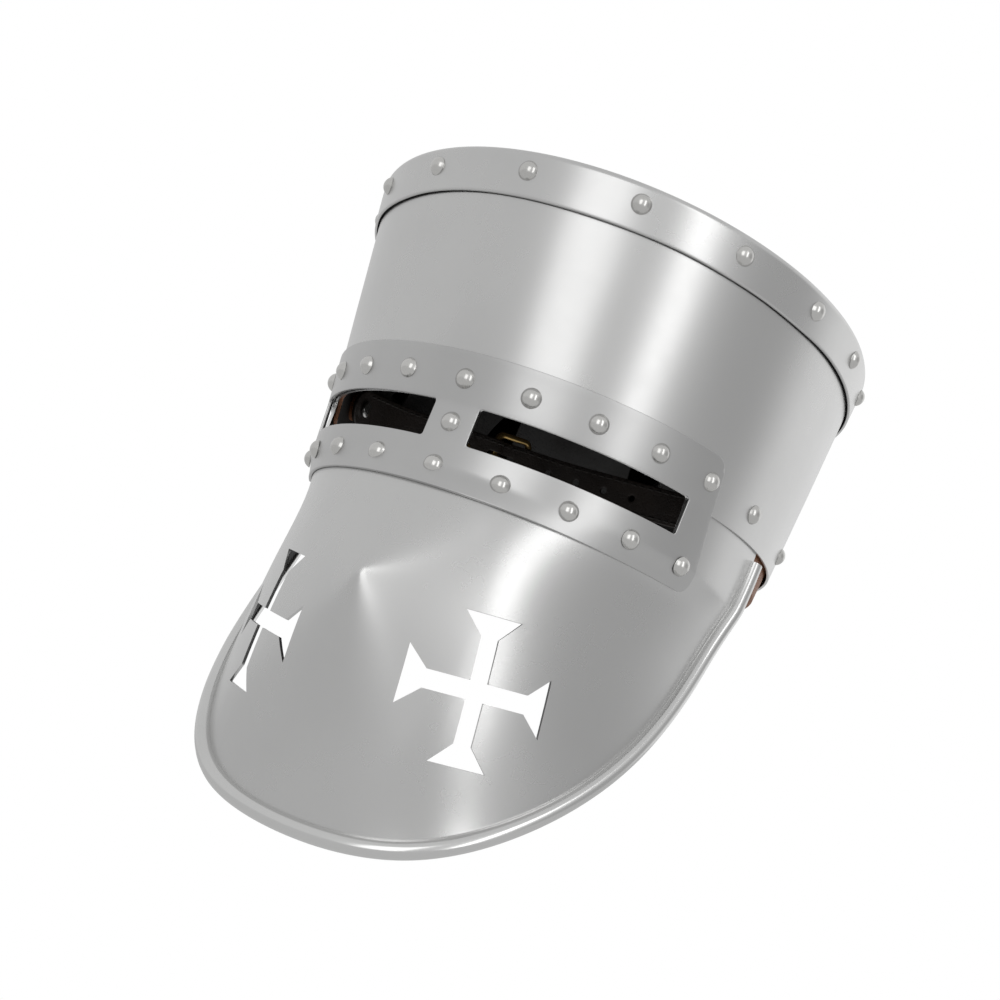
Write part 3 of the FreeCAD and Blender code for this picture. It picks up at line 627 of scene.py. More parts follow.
class Bench:
    """A new material with its shader, and the patterns that finishes are made of."""

    def __init__(self, name: str) -> None:
        """Makes a material of this name."""
        self.material = bpy.data.materials.new(name)
        self.material.use_nodes = True
        self.tree = self.material.node_tree
        self.shader = next(n for n in self.tree.nodes if n.type == "BSDF_PRINCIPLED")
        self.coords = self.tree.nodes.new("ShaderNodeTexCoord")

    def set(self, **values: float | Sequence[float]) -> None:
        """Sets constants on the shader's own sockets, with _ for a space."""
        for key, value in values.items():
            self.shader.inputs[key.replace("_", " ")].default_value = value

    def link(self, key: str, value: Signal) -> None:
        """Feeds one of the shader's sockets."""
        self.tree.links.new(value.socket, self.shader.inputs[key])

    def noise(self, per_metre: float, detail: float = 3.0, stretch: Sequence[float] = (1, 1, 1),
              distortion: float = 0.0, flat: bool = False) -> Signal:
        """Noise about 0.5 on the object's own coordinates, or on its UV map if flat."""
        spread = self.tree.nodes.new("ShaderNodeMapping")
        spread.inputs["Scale"].default_value = stretch
        self.tree.links.new(self.coords.outputs["UV" if flat else "Object"], spread.inputs["Vector"])
        node = self.tree.nodes.new("ShaderNodeTexNoise")
        node.inputs["Scale"].default_value = per_metre
        node.inputs["Detail"].default_value = detail
        node.inputs["Distortion"].default_value = distortion
        self.tree.links.new(spread.outputs["Vector"], node.inputs["Vector"])
        return Signal(self.tree, node.outputs["Fac"])

    def cells(self, per_metre: float, flat: bool = False) -> Signal:
        """Distance to the nearest of scattered points, 0 at a point."""
        node = self.tree.nodes.new("ShaderNodeTexVoronoi")
        node.inputs["Scale"].default_value = per_metre
        self.tree.links.new(self.coords.outputs["UV" if flat else "Object"], node.inputs["Vector"])
        return Signal(self.tree, node.outputs["Distance"])

    def bump(self, height: Signal, strength: float, depth: float) -> None:
        """Raises the surface by a signal, depth in metres."""
        node = self.tree.nodes.new("ShaderNodeBump")
        node.inputs["Strength"].default_value = strength
        node.inputs["Distance"].default_value = depth
        self.tree.links.new(height.socket, node.inputs["Height"])
        self.tree.links.new(node.outputs["Normal"], self.shader.inputs["Normal"])


# ---- finishes -----------------------------------------------------------
@dataclass(frozen=True)
class MetalFinish:
    """Worked metal: satin sheet and polished head, and copies of the sheet darkened as painted shade and
    lightened as painted highlight.
    """

    name: str
    bright: tuple[float, float, float]
    dull: tuple[float, float, float]
    smooth: float
    rough: float
    grain: float = 0.35
    pits: float = 0.0

    def material(self) -> bpy.types.Material:
        """Builds the material."""
        bench = Bench(self.name)
        cloud = bench.noise(14, 2, distortion=0.3).rise(0.25, 0.75)
        fine = bench.noise(160, 2)
        brush = bench.noise(900, 2, (1.0, 1.0, 0.1))
        bench.set(Metallic=1.0)
        bench.link("Base Color", (cloud * 0.7 + fine * 0.3).tint(self.bright, self.dull))
        bench.link("Roughness", (cloud * 0.5 + fine * 0.5) * (self.rough - self.smooth) + self.smooth)
        height = brush
        if self.pits:
            height = brush + bench.cells(520).rise(0.02, 0.16) * self.pits
        if self.grain:
            bench.bump(height, self.grain, 0.00005)
        return bench.material


@dataclass(frozen=True)
class LeatherFinish:
    """Vegetable-tanned leather, grain side out."""

    name: str
    dark: tuple[float, float, float]
    worn: tuple[float, float, float]
    roughness: float = 0.52
    grain: float = 0.5

    def material(self) -> bpy.types.Material:
        """Builds the material."""
        bench = Bench(self.name)
        patch = bench.noise(38, 4, distortion=0.6).rise(0.3, 0.72)
        pore = bench.cells(900).rise(0.05, 0.55)
        crease = bench.noise(150, 5, distortion=0.9)
        bench.link("Base Color", (patch * 0.75 + crease * 0.25).tint(self.dark, self.worn))
        bench.link("Roughness", patch * 0.14 + crease * 0.1 + (self.roughness - 0.12))
        bench.bump(pore * 0.55 + crease * 0.6, self.grain, 0.0004)
        return bench.material


@dataclass(frozen=True)
class ThreadFinish:
    """Waxed linen thread."""

    name: str
    colour: tuple[float, float, float]

    def material(self) -> bpy.types.Material:
        """Builds the material."""
        bench = Bench(self.name)
        fibre = bench.noise(2600, 3)
        dark = tuple(0.6 * c for c in self.colour)
        bench.link("Base Color", fibre.tint(dark, self.colour))
        bench.set(Roughness=0.75)
        bench.bump(fibre, 0.5, 0.0002)
        return bench.material


class Finish(Enum):
    """The helm's finishes; each is built once, on first use."""

    STEEL = MetalFinish("satin_steel", (0.64, 0.64, 0.635), (0.59, 0.59, 0.587), 0.25, 0.31, 0.0)
    # Darker copy of the satin steel for the sight plate: painted shade standing in for its different
    # reflection.
    SIGHT = MetalFinish("sight_steel", (0.55, 0.55, 0.547), (0.5, 0.5, 0.498), 0.3, 0.36, 0.0)
    CROWN = MetalFinish("crown_steel", (0.64, 0.64, 0.635), (0.59, 0.59, 0.587), 0.25, 0.3, 0.0)
    # Darker, rougher copy of the steel, put on the crown's up-facing faces.
    TOP = MetalFinish("brushed_top", (0.36, 0.36, 0.357), (0.3, 0.3, 0.298), 0.5, 0.58, 0.0)
    # Lighter copy of the steel for the rolled edge: painted highlight on the bead.
    ROLL = MetalFinish("rolled_edge", (0.7, 0.7, 0.695), (0.64, 0.64, 0.635), 0.18, 0.24, 0.0)
    RIVET = MetalFinish("rivet_heads", (0.66, 0.655, 0.64), (0.58, 0.575, 0.56), 0.17, 0.26, 0.2)
    # Near-black copy of the steel for the inward faces: painted shade for the dark inside of the helm.
    INSIDE = MetalFinish("blackened_inside", (0.014, 0.0135, 0.013), (0.008, 0.008, 0.008),
                         0.5, 0.7, 0.5, 0.2)
    BRASS = MetalFinish("cast_brass", (0.62, 0.43, 0.17), (0.42, 0.27, 0.1), 0.22, 0.42, 0.3, 0.2)
    LINER = LeatherFinish("headband_leather", (0.14, 0.05, 0.018), (0.26, 0.1, 0.04))
    # Near-black leather for the petals and the headband's inner face: painted shade for the dark top of the
    # inside.
    PETAL = LeatherFinish("black_leather", (0.006, 0.0055, 0.005), (0.014, 0.012, 0.01), 0.6)
    STRAP = LeatherFinish("harness_leather", (0.009, 0.006, 0.0045), (0.02, 0.013, 0.009), 0.5)
    # The lace's own brown, darkened further as painted shade so it reads dark through the slits.
    LACE = LeatherFinish("lacing_leather", (0.12, 0.065, 0.03), (0.2, 0.12, 0.06), 0.6)
    # Thread darkened almost to black as painted shade, so stitches seen through the slits read as the dark
    # inside.
    THREAD = ThreadFinish("linen_thread", (0.03, 0.026, 0.022))

    @property
    def material(self) -> bpy.types.Material:
        """The built material."""
        made = bpy.data.materials.get(self.value.name)
        return made or self.value.material()


def finished(piece: bpy.types.Object, *finishes: Finish) -> bpy.types.Object:
    """Gives a piece its material slots in order."""
    piece.data.materials.clear()
    for finish in finishes:
        piece.data.materials.append(finish.material)
    return piece


# ---- repeated small work ------------------------------------------------
class RepeatTool:
    """Node group that sets one template at every point of a row."""

    def __init__(self) -> None:
        """Builds the node group with its named inputs."""
        group = bpy.data.node_groups.new("set_in_row", "GeometryNodeTree")
        face = group.interface
        face.new_socket("Geometry", in_out="OUTPUT", socket_type="NodeSocketGeometry")
        self.ids = {}
        for label, kind in (("Row", "Geometry"), ("Template", "Object"), ("Finish", "Material"),
                            ("Seed", "Int"), ("Spin", "Float"), ("Tilt", "Float"),
                            ("Spread", "Float")):
            made = face.new_socket(label, in_out="INPUT", socket_type="NodeSocket" + kind)
            self.ids[label] = made.identifier
        self.group = group
        nodes, links = group.nodes, group.links
        start, end = nodes.new("NodeGroupInput"), nodes.new("NodeGroupOutput")
        shape = nodes.new("GeometryNodeObjectInfo")
        links.new(start.outputs["Template"], shape.inputs["Object"])
        axes = nodes.new("FunctionNodeAxesToRotation")
        axes.primary_axis, axes.secondary_axis = "Z", "X"
        for label, name in (("Primary Axis", "facing"), ("Secondary Axis", "heading")):
            read = nodes.new("GeometryNodeInputNamedAttribute")
            read.data_type = "FLOAT_VECTOR"
            read.inputs["Name"].default_value = name
            links.new(read.outputs["Attribute"], axes.inputs[label])
        lean = self._random(start, "Tilt", 0)
        spin = self._random(start, "Spin", 1)
        turn = nodes.new("ShaderNodeCombineXYZ")
        links.new(lean, turn.inputs["X"])
        links.new(spin, turn.inputs["Z"])
        euler = nodes.new("FunctionNodeEulerToRotation")
        links.new(turn.outputs[0], euler.inputs[0])
        rotate = nodes.new("FunctionNodeRotateRotation")
        rotate.rotation_space = "LOCAL"
        links.new(axes.outputs[0], rotate.inputs[0])
        links.new(euler.outputs[0], rotate.inputs[1])
        grow = nodes.new("ShaderNodeMath")
        grow.operation = "ADD"
        grow.inputs[1].default_value = 1.0
        links.new(self._random(start, "Spread", 2), grow.inputs[0])
        scatter = nodes.new("GeometryNodeInstanceOnPoints")
        links.new(start.outputs["Row"], scatter.inputs["Points"])
        links.new(shape.outputs["Geometry"], scatter.inputs["Instance"])
        links.new(rotate.outputs[0], scatter.inputs["Rotation"])
        links.new(grow.outputs[0], scatter.inputs["Scale"])
        real = nodes.new("GeometryNodeRealizeInstances")
        links.new(scatter.outputs[0], real.inputs[0])
        paint = nodes.new("GeometryNodeSetMaterial")
        links.new(real.outputs[0], paint.inputs["Geometry"])
        links.new(start.outputs["Finish"], paint.inputs["Material"])
        links.new(paint.outputs[0], end.inputs[0])

    def _random(self, start: bpy.types.Node, label: str, step: int) -> bpy.types.NodeSocket:
        """Random number within plus or minus a named input, from the seed and a step."""
        nodes, links = self.group.nodes, self.group.links
        minus = nodes.new("ShaderNodeMath")
        minus.operation = "MULTIPLY"
        minus.inputs[1].default_value = -1.0
        links.new(start.outputs[label], minus.inputs[0])
        seed = nodes.new("ShaderNodeMath")
        seed.inputs[1].default_value = step
        links.new(start.outputs["Seed"], seed.inputs[0])
        dice = nodes.new("FunctionNodeRandomValue")
        low, high = [s for s in dice.inputs if s.type == "VALUE"][:2]
        links.new(minus.outputs[0], low)
        links.new(start.outputs[label], high)
        links.new(seed.outputs[0], dice.inputs["Seed"])
        return next(s for s in dice.outputs if s.type == "VALUE")

    def row(self, name: str, places: Array, facing: Array, heading: Array,
            template: bpy.types.Object, finish: Finish, seed: int = 1, spin: float = math.pi,
            tilt: float = 0.02, spread: float = 0.015) -> bpy.types.Object:
        """Sets the template at each place and bakes the row.

        Args:
            name: Object name.
            places: Places in millimetres, shape (n, 3).
            facing: Direction of the template's Z at each place.
            heading: Direction of the template's X at each place.
            template: Mesh object to repeat.
            finish: Material of the row.
            seed: Fixes the small differences.
            spin: Most turn about Z, in radians.
            tilt: Most lean, in radians.
            spread: Most change of size, as a share.

        Returns:
            The baked row as one object.
        """
        piece = mesh_piece(name, np.asarray(places), [])
        for label, values in (("facing", facing), ("heading", heading)):
            layer = piece.data.attributes.new(label, "FLOAT_VECTOR", "POINT")
            values = np.broadcast_to(values, np.shape(places))
            layer.data.foreach_set("vector", np.ascontiguousarray(values, np.float32).ravel())
        tool = piece.modifiers.new("row", "NODES")
        tool.node_group = self.group
        for label, value in (("Template", template), ("Finish", finish.material), ("Seed", seed),
                             ("Spin", spin), ("Tilt", tilt), ("Spread", spread)):
            tool[self.ids[label]] = value
        freeze(piece)
        for label in ("facing", "heading"):
            layer = piece.data.attributes.get(label)
            if layer:
                piece.data.attributes.remove(layer)
        return piece


def turned(name: str, profile: Sequence[tuple[float, float]], steps: int = 32,
           hollow: bool = False) -> bpy.types.Object:
    """Solid of revolution about Z from (radius, height) pairs.

    Args:
        name: Object name.
        profile: Section from one end to the other, or a closed loop if hollow.
        steps: Facets round the axis.
        hollow: Joins the profile's end to its start instead of closing the ends.

    Returns:
        The new object.
    """
    angle = np.arange(steps) * FULL_TURN / steps
    ring = np.stack([np.cos(angle), np.sin(angle)], 1)
    points = [np.column_stack([ring * max(r, 1e-3), np.full(steps, h)]) for r, h in profile]
    return rod(name, np.array(points), hollow)


def dome_profile(radius: float, rise: float, foot: float = 0.0,
                 steps: int = 12) -> list[tuple[float, float]]:
    """Profile of a hammered dome head from its middle down to its foot."""
    globe = (radius ** 2 + rise ** 2) / (2 * rise)
    top = math.asin(min(1.0, radius / globe))
    bend = [top * k / steps for k in range(steps + 1)]
    return [(globe * math.sin(a), rise - globe + globe * math.cos(a) + foot) for a in bend]


# ---- metal work ---------------------------------------------------------
def dressed(piece: bpy.types.Object, body: str, slot: str, *nodes: str) -> bpy.types.Object:
    """Puts a piece on its body and in place of CAD nodes."""
    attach(piece, body)
    if nodes:
        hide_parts(*nodes)
    log.info("%s on %s: %d faces", piece.name, body, len(piece.data.polygons))
    return piece


@dataclass
class Crown:
    """Flat top with its rounded edge and turned-down flange."""

    form: HelmForm
    round: float = 3.5
    lip: float = 0.35
    steps: int = 320
    wave: float = 0.3
    ceiling_rings: int = 6

    def _profile(self) -> list[tuple[float, float, float]]:
        """Section as (height, out, share of the reach), inside bottom to outside and over."""
        form = self.form
        proud, thick, lip = form.crown_proud, form.crown_sheet, self.lip
        low, top = form.crown_edge, form.crown_top
        inner = [(low + lip, proud - thick, 1.0), (low, proud - thick + lip, 1.0),
                 (low, proud - lip, 1.0), (low + lip * 0.3, proud - lip * 0.3, 1.0),
                 (low + lip, proud, 1.0)]
        wall = [(z, proud, 1.0) for z in np.linspace(low + 1.2, top - self.round, 12)]
        bend = [(top - self.round + self.round * math.sin(a), proud - self.round
                 + self.round * math.cos(a), 1.0) for a in np.linspace(0.12, math.pi / 2, 12)]
        flat = [(top, proud - self.round, share) for share in np.linspace(0.985, 0.02, 40)]
        ceiling = [(top - thick, proud - thick, share)
                   for share in np.linspace(0.02, 0.985, self.ceiling_rings)]
        return inner + wall + bend + flat + ceiling

    def build(self) -> bpy.types.Object:
        """Builds the plate as one closed sheet."""
        form = self.form
        turns = np.linspace(0, FULL_TURN, self.steps, endpoint=False)
        middle = np.array([0.0, 0.5 * (form.rim_back - form.rim_front), 0.0])
        rows = []
        for z, out, share in self._profile():
            ring = form.skull(turns, z, out)
            rows.append(np.where([True, True, False], middle + (ring - middle) * share, ring))
        points = np.array(rows)
        edge = smoothstep(points[..., 2], form.crown_row, form.crown_edge)
        points[..., 2] += edge * self.wave * ripple(points, 70, 3)
        points += radial(points) * (0.12 * ripple(points, 55, 4))[..., None] * edge[..., None]
        ceiling = len(rows) - self.ceiling_rings
        faces = grid_faces(len(rows), self.steps, True, True, lambda row, _: row != ceiling - 1)
        faces += [tuple(range(ring * self.steps, (ring + 1) * self.steps))
                  for ring in (ceiling - 1, ceiling)]
        plate = tidy(mesh_piece("crown", points.reshape(-1, 3), faces), 50)
        finished_pair(plate, form, Finish.CROWN)
        # Up-facing faces get the darker, rougher copy of the steel.
        plate.data.materials.append(Finish.TOP.material)
        for face in plate.data.polygons:
            if face.normal.z > FLAT_TOP:
                face.material_index = 2
        return plate


@dataclass
class Skull:
    """Drafted wall of the helm, open below, with its riveted lap behind."""

    form: HelmForm
    steps: int = 360
    notch_turn: float = math.radians(56.5)
    notch_z: float = 3.2
    lap_half: float = 11.0
    lap_top: float = 83.8

    def build(self) -> bpy.types.Object:
        """Builds the wall and the lap as one piece."""
        form = self.form
        edge = np.array([-self.notch_turn, self.notch_turn])
        turns = np.linspace(-math.pi, math.pi, self.steps, endpoint=False)
        for value in edge:
            turns[np.argmin(np.abs(turns - value))] = value
        heights = np.concatenate([[0.0, 1.6, self.notch_z], np.linspace(5.5, 102.35, 48)])
        points = form.skull(turns[None], heights[:, None])
        points = points + radial(points) * (0.16 * ripple(points, 90, 5)
                                            * smoothstep(points[..., 2], 20, 50))[..., None]

        def whole(row: int, col: int) -> bool:
            """Whether a cell is outside the cut behind the sight plate."""
            middle = 0.5 * (turns[col] + turns[(col + 1) % self.steps])
            return row > 1 or abs(middle) > self.notch_turn

        faces = grid_faces(len(heights), self.steps, wrap_cols=True, keep=whole)
        wall = mesh_piece("skull", points.reshape(-1, 3), faces)
        turn_outwards(wall, radial)
        sheet_edges(wall, form.sheet, 0.25)
        lap = self._lap()
        return finished_pair(joined("skull", [wall, lap]), form)

    def _lap(self) -> bpy.types.Object:
        """Strip of the sheet's outer end lying over the other end."""
        form = self.form

        def place(flat: Array) -> Array:
            """Bends flat places to shape."""
            turn = math.pi - np.arcsin(flat[:, 0] / (form.rim_side + form.flare_side * flat[:, 1]))
            return form.skull(turn, flat[:, 1], form.sheet)

        outline = rounded_box((-self.lap_half, 0.0), (self.lap_half, self.lap_top), 1.0)
        lap = panel("lap", outline, [], place, 3.0, 1.5)
        turn_outwards(lap, radial)
        return sheet_edges(lap, form.sheet + 0.1, 0.25)


def finished_pair(piece: bpy.types.Object, form: HelmForm,
                  outside: Finish = Finish.STEEL) -> bpy.types.Object:
    """Bright outside and a near-black copy painted as shade on the inside, by which way each face looks.

    Args:
        piece: Closed sheet-metal piece.
        form: The helm's guiding surfaces.
        outside: Finish of the outer faces.

    Returns:
        The same object.
    """
    finished(piece, outside, Finish.INSIDE)
    mesh = piece.data
    count = len(mesh.polygons)
    centre, normal = np.zeros(count * 3), np.zeros(count * 3)
    mesh.polygons.foreach_get("center", centre)
    mesh.polygons.foreach_get("normal", normal)
    centre, normal = centre.reshape(-1, 3), normal.reshape(-1, 3)
    away = centre - np.array([0.0, 0.03, 0.0])
    away[:, 2] = 0.0
    # Faces looking inwards get the near-black painted-shade copy of the steel.
    inward = np.sum(unit(away) * normal, axis=1) < -0.55
    mesh.polygons.foreach_set("material_index", inward.astype(np.int32))
    return piece


@dataclass
class SightPlate:
    """Riveted front plate with the two sight slits."""

    form: HelmForm
    reach: float = 108.0
    top_turn: float = math.radians(59.6)
    low_turn: float = math.radians(64.6)
    corner: float = 6.0
    slit_corner: float = 1.2

    def _outline(self) -> Array:
        """Flat outline: distance round from the front, height."""
        form = self.form
        top, low = self.top_turn * self.reach, self.low_turn * self.reach
        box = rounded_bar(2 * top, form.sight_top - form.sight_low, self.corner, 8)
        box[:, 1] += (form.sight_top + form.sight_low) / 2
        share = (form.sight_top - box[:, 1]) / (form.sight_top - form.sight_low)
        box[:, 0] += np.sign(box[:, 0]) * share * (low - top)
        return box

    def slits(self, grow: float = 0.0) -> list[Array]:
        """Flat outlines of the two slits."""
        form = self.form
        near = math.asin((form.slit_near - grow) / form.rim_side) * self.reach
        far = math.asin((form.slit_far + grow) / (form.rim_side + form.sight_sheet)) * self.reach
        right = rounded_box((near, form.slit_low - grow), (far, form.slit_top + grow),
                            self.slit_corner)
        return [right, right * np.array([-1.0, 1.0])]

    def build(self) -> bpy.types.Object:
        """Builds the plate."""
        form = self.form

        def place(flat: Array) -> Array:
            """Bends flat places to shape."""
            turn = form.upright_turn(form.sight, flat[:, 0] / self.reach, flat[:, 1],
                                     form.sight_sheet)
            points = form.sight(turn, flat[:, 1], form.sight_sheet)
            return points + radial(points) * (0.08 * ripple(points, 60, 6))[:, None]

        plate = panel("sight", self._outline(), self.slits(), place, 2.2, 1.1)
        turn_outwards(plate, radial)
        sheet_edges(plate, form.sight_sheet, 0.3)
        # The sight plate gets the darker, painted-shade copy of the steel.
        return finished_pair(plate, form, Finish.SIGHT)


@dataclass
class FacePlate:
    """Bulging face guard with its nose peak, breaths and rolled rear edge."""

    form: HelmForm
    sight: SightPlate
    reach: float = 115.0
    top: float = 19.0
    roll_radius: float = 3.5
    roll_out: float = 0.8
    roll_start: float = -4.5
    cross_centre: tuple[float, float, float] = (47.8, -114.2, -101.2)
    cross_turn: float = math.radians(38.5)
    cross_lean: float = math.radians(6.5)
    arm: tuple[tuple[float, float], ...] = ((3.6, 3.6), (3.6, 20.2), (11.4, 28.6),
                                            (-11.4, 28.6), (-3.6, 20.2))
    chin: float = field(init=False)

    def __post_init__(self) -> None:
        """Works out where the rear edge reaches the chin."""
        self.chin = self.form.chin()

    def _edge_turn(self, z: Array) -> Array:
        """Turn at which the plate ends at a height."""
        return self.form.face_turn(z, self.form.rim_y(np.minimum(z, 0.0)))

    def _outline(self) -> Array:
        """Flat outline from the top, down the rear edge to the chin and back."""
        down = self.chin * np.sin(np.linspace(0, math.pi / 2, 90))
        z = np.concatenate([[self.top], down])
        side = np.stack([self._edge_turn(z) * self.reach, z], 1)
        side[-1, 0] = 0.0
        return np.concatenate([side, side[-2::-1] * np.array([-1.0, 1.0])])

    def _cross(self, side: int) -> Array:
        """Flat outline of one cross-shaped breath."""
        cx, cy, cz = self.cross_centre
        corners = []
        for quarter in range(4):
            spin = self.cross_lean + math.pi / 2 * quarter
            corners += [(a * math.cos(spin) - b * math.sin(spin),
                         a * math.sin(spin) + b * math.cos(spin)) for a, b in self.arm]
        outline = resampled(np.array(corners), 1.2)
        turns = np.linspace(0, math.radians(85), 1500)
        flat = []
        for across, up in outline:
            line = self.form.face(turns, cz + up)
            gone = ((line[:, 0] - cx) * math.cos(self.cross_turn)
                    + (line[:, 1] - cy) * math.sin(self.cross_turn))
            flat.append((side * np.interp(across, gone, turns) * self.reach, cz + up))
        return np.array(flat)

    def _breaths(self) -> list[Array]:
        """Flat outlines of all the plate's cut-outs."""
        form, slits = self.form, []
        for loop in self.sight.slits(0.6):
            turn = form.upright_turn(form.face, loop[:, 0] / self.sight.reach, loop[:, 1], 0.0)
            slits.append(np.column_stack([turn * self.reach, loop[:, 1]]))
        return slits + [self._cross(1), self._cross(-1)]

    def _sheet(self) -> bpy.types.Object:
        """Builds the cut and formed sheet."""
        form = self.form

        def place(flat: Array) -> Array:
            """Bends flat places to shape."""
            points = form.face(flat[:, 0] / self.reach, flat[:, 1])
            calm = smoothstep(points[:, 2], -40, -75)
            return points + radial(points) * (0.22 * calm * ripple(points, 75, 7))[:, None]

        sheet = panel("face", self._outline(), self._breaths(), place, 2.0, 1.2)
        turn_outwards(sheet, radial)
        sheet_edges(sheet, form.sheet, 0.2)
        return finished_pair(sheet, form)

    def _roll(self) -> bpy.types.Object:
        """Builds the rolled edge, closed at both ends."""
        form = self.form
        share = np.sin(np.linspace(0, math.pi / 2, 220))
        z = self.roll_start + (self.chin - self.roll_start) * share
        turn = self._edge_turn(z)
        turn[-1] = 0.0
        half = form.face(turn, z, self.roll_out)
        line = np.concatenate([half, half[-2::-1] * np.array([-1.0, 1.0, 1.0])])
        spin = np.concatenate([turn, -turn[-2::-1]])
        height = np.concatenate([z, z[-2::-1]])
        facing = form.normals(form.face, spin, height, self.roll_out)
        ring = circle(self.roll_radius, 24)
        points, _ = sweep(line, facing, ring)
        swell = 1.0 + 0.02 * ripple(line, 40, 8)
        points = line[:, None] + (points - line[:, None]) * swell[:, None, None]
        # The roll gets the lighter, painted-highlight copy of the steel.
        return finished(rod("roll", points), Finish.ROLL)

    def build(self) -> bpy.types.Object:
        """Builds the plate with its roll."""
        return joined("face", [self._sheet(), self._roll()])


@dataclass
class Rivets:
    """All the helm's rivets, set by one tool."""

    form: HelmForm
    tool: RepeatTool
    head: float = 4.1
    rise: float = 2.8
    foot: float = 0.05
    shank: float = 1.8
    tail: float = 3.1
    tail_rise: float = 0.9
    crown_pitch: float = 47.2
    top_pitch: float = 28.0
    low_pitch: float = 28.2
    lap_heights: tuple[float, ...] = (14.0, 34.0, 54.0, 74.0)
    liner_grip: float = 4.8
    burr: float = 1.0

    def template(self, grip: float, tail: bool = True) -> bpy.types.Object:
        """Builds one rivet about its seat, head up."""
        profile = [(0.0, self.rise + self.foot)]
        profile += dome_profile(self.head, self.rise, self.foot)[1:-1]
        profile += [(self.head, self.foot + 0.12), (self.head - 0.1, self.foot - 0.15),
                    (self.shank, self.foot - 0.15)]
        if tail:
            profile += [(self.shank, -grip), (self.tail - 0.3, -grip - 0.05),
                        (self.tail, -grip - 0.35), (self.tail * 0.8, -grip - self.tail_rise * 0.9),
                        (0.0, -grip - self.tail_rise)]
        else:
            profile += [(self.shank, -grip), (0.0, -grip)]
        piece = turned("rivet_form", profile[::-1], 28)
        return piece

    def _set(self, name: str, node: str, row: tuple[Array, Array], grip: float,
             seed: int, tail: bool = True) -> bpy.types.Object:
        """Sets a row and dresses it."""
        places, normals = row
        form = self.template(grip, tail)
        heading = np.cross(UP, normals)
        piece = self.tool.row(name, places, normals, heading, form, Finish.RIVET, seed)
        bpy.data.objects.remove(form)
        return dressed(piece, "helm", "rivet_steel", node)

    def at_side(self, y: float) -> tuple[Array, Array]:
        """Places on both side walls at a fore-and-aft position."""
        form = self.form
        reach = (form.rim_front + form.flare_front * form.top_row if y < 0
                 else form.rim_back + form.flare_back * form.top_row)
        turn = np.array([-1.0, 1.0]) * math.acos(-y / reach)
        z = np.full(2, form.top_row)
        return form.skull(turn, z), form.normals(form.skull, turn, z, 0.0)

    def liner_row(self) -> tuple[Array, Array]:
        """Places of the rivets that hold the headband."""
        form = self.form
        turns = np.linspace(0, math.pi, 3000)
        line = form.skull(turns, form.top_row)
        half = np.sum(np.linalg.norm(np.diff(line, axis=0), axis=1))
        steps = np.array([half - 30.0, 30.0 - half, half - 90.0, 90.0 - half])
        back, normals = form.spaced(form.skull, form.top_row, 0.0, steps)
        side, side_normals = self.at_side(34.0)
        return np.concatenate([side, back]), np.concatenate([side_normals, normals])

    def build(self) -> list[bpy.types.Object]:
        """Sets every row."""
        form = self.form
        out = form.sight_sheet + 0.05
        places = form.spaced(form.skull, form.crown_row, form.crown_proud,
                             np.arange(-8, 9) * self.crown_pitch)
        made = [self._set("rivets_crown", "crown_rivets", places,
                          form.crown_proud + form.sheet, 11)]
        row = np.arange(-4, 5)
        made.append(self._set("rivets_sight_top", "sight_top_rivets", form.spaced(
            form.skull, form.top_row, out, row * self.top_pitch), out + self.liner_grip, 12))
        made.append(self._set("rivets_sight_low", "sight_bottom_rivets", form.spaced(
            form.face, form.low_row, out + 0.1, row * self.low_pitch), out + form.sheet, 13))
        zero = np.zeros(1)
        made.append(self._set("rivet_sight_middle", "sight_centre_rivet", form.spaced(
            form.sight, -6.5, form.sight_sheet, zero), form.sight_sheet + 2 * form.sheet + 0.2, 14))
        height = np.array(self.lap_heights)
        back = np.full(height.shape, math.pi)
        made.append(self._set("rivets_lap", "back_seam_rivets",
                              (form.skull(back, height, form.sheet),
                               form.normals(form.skull, back, height, form.sheet)),
                              2 * form.sheet, 15))
        made.append(self._set("rivets_liner", "liner_rivets", self.liner_row(),
                              self.liner_grip + 0.4 + self.burr, 16))
        made.append(self._burrs())
        return made

    def _burrs(self) -> bpy.types.Object:
        """Washers under the tails of the headband's rivets."""
        places, normals = self.liner_row()
        low = -(self.liner_grip + 0.4 + self.burr)
        washer = turned("washer", [(1.95, low), (4.1, low), (4.2, low + 0.15),
                                   (4.2, low + 0.85), (4.1, low + 1.0), (1.95, low + 1.0)],
                        24, hollow=True)
        piece = self.tool.row("burrs", places, normals, np.cross(UP, normals), washer,
                              Finish.BRASS, 17, tilt=0.0)
        bpy.data.objects.remove(washer)
        return dressed(piece, "helm", "brass_fittings", "liner_rivet_burrs")


# ---- leather work -------------------------------------------------------
def stitch_form() -> bpy.types.Object:
    """One stitch lying along X, sunk at its ends."""
    share = np.linspace(-1, 1, 9)
    line = np.stack([share * 1.75, np.zeros(9), 0.28 - 0.75 * share ** 4], 1)
    points, _ = sweep(line, np.broadcast_to(UP, line.shape), circle(0.42, 8))
    return rod("stitch_form", points)


def hide_edges(piece: bpy.types.Object, thick: float, backed: bool = False) -> bpy.types.Object:
    """Gives cut leather its thickness inwards, with burnished round edges.

    Args:
        piece: Open surface whose faces point outwards.
        thick: Leather thickness in millimetres.
        backed: Gives the inner face the piece's second finish.

    Returns:
        The same object, made solid.
    """
    wall = piece.modifiers.new("hide", "SOLIDIFY")
    wall.thickness = thick * MM
    wall.offset = -1.0
    wall.material_offset = int(backed)
    ease = piece.modifiers.new("burnished_edge", "BEVEL")
    ease.width = 0.3 * thick * MM
    ease.segments = 3
    ease.limit_method = "ANGLE"
    ease.angle_limit = math.radians(50)
    even_shading(piece)
    return freeze(piece)


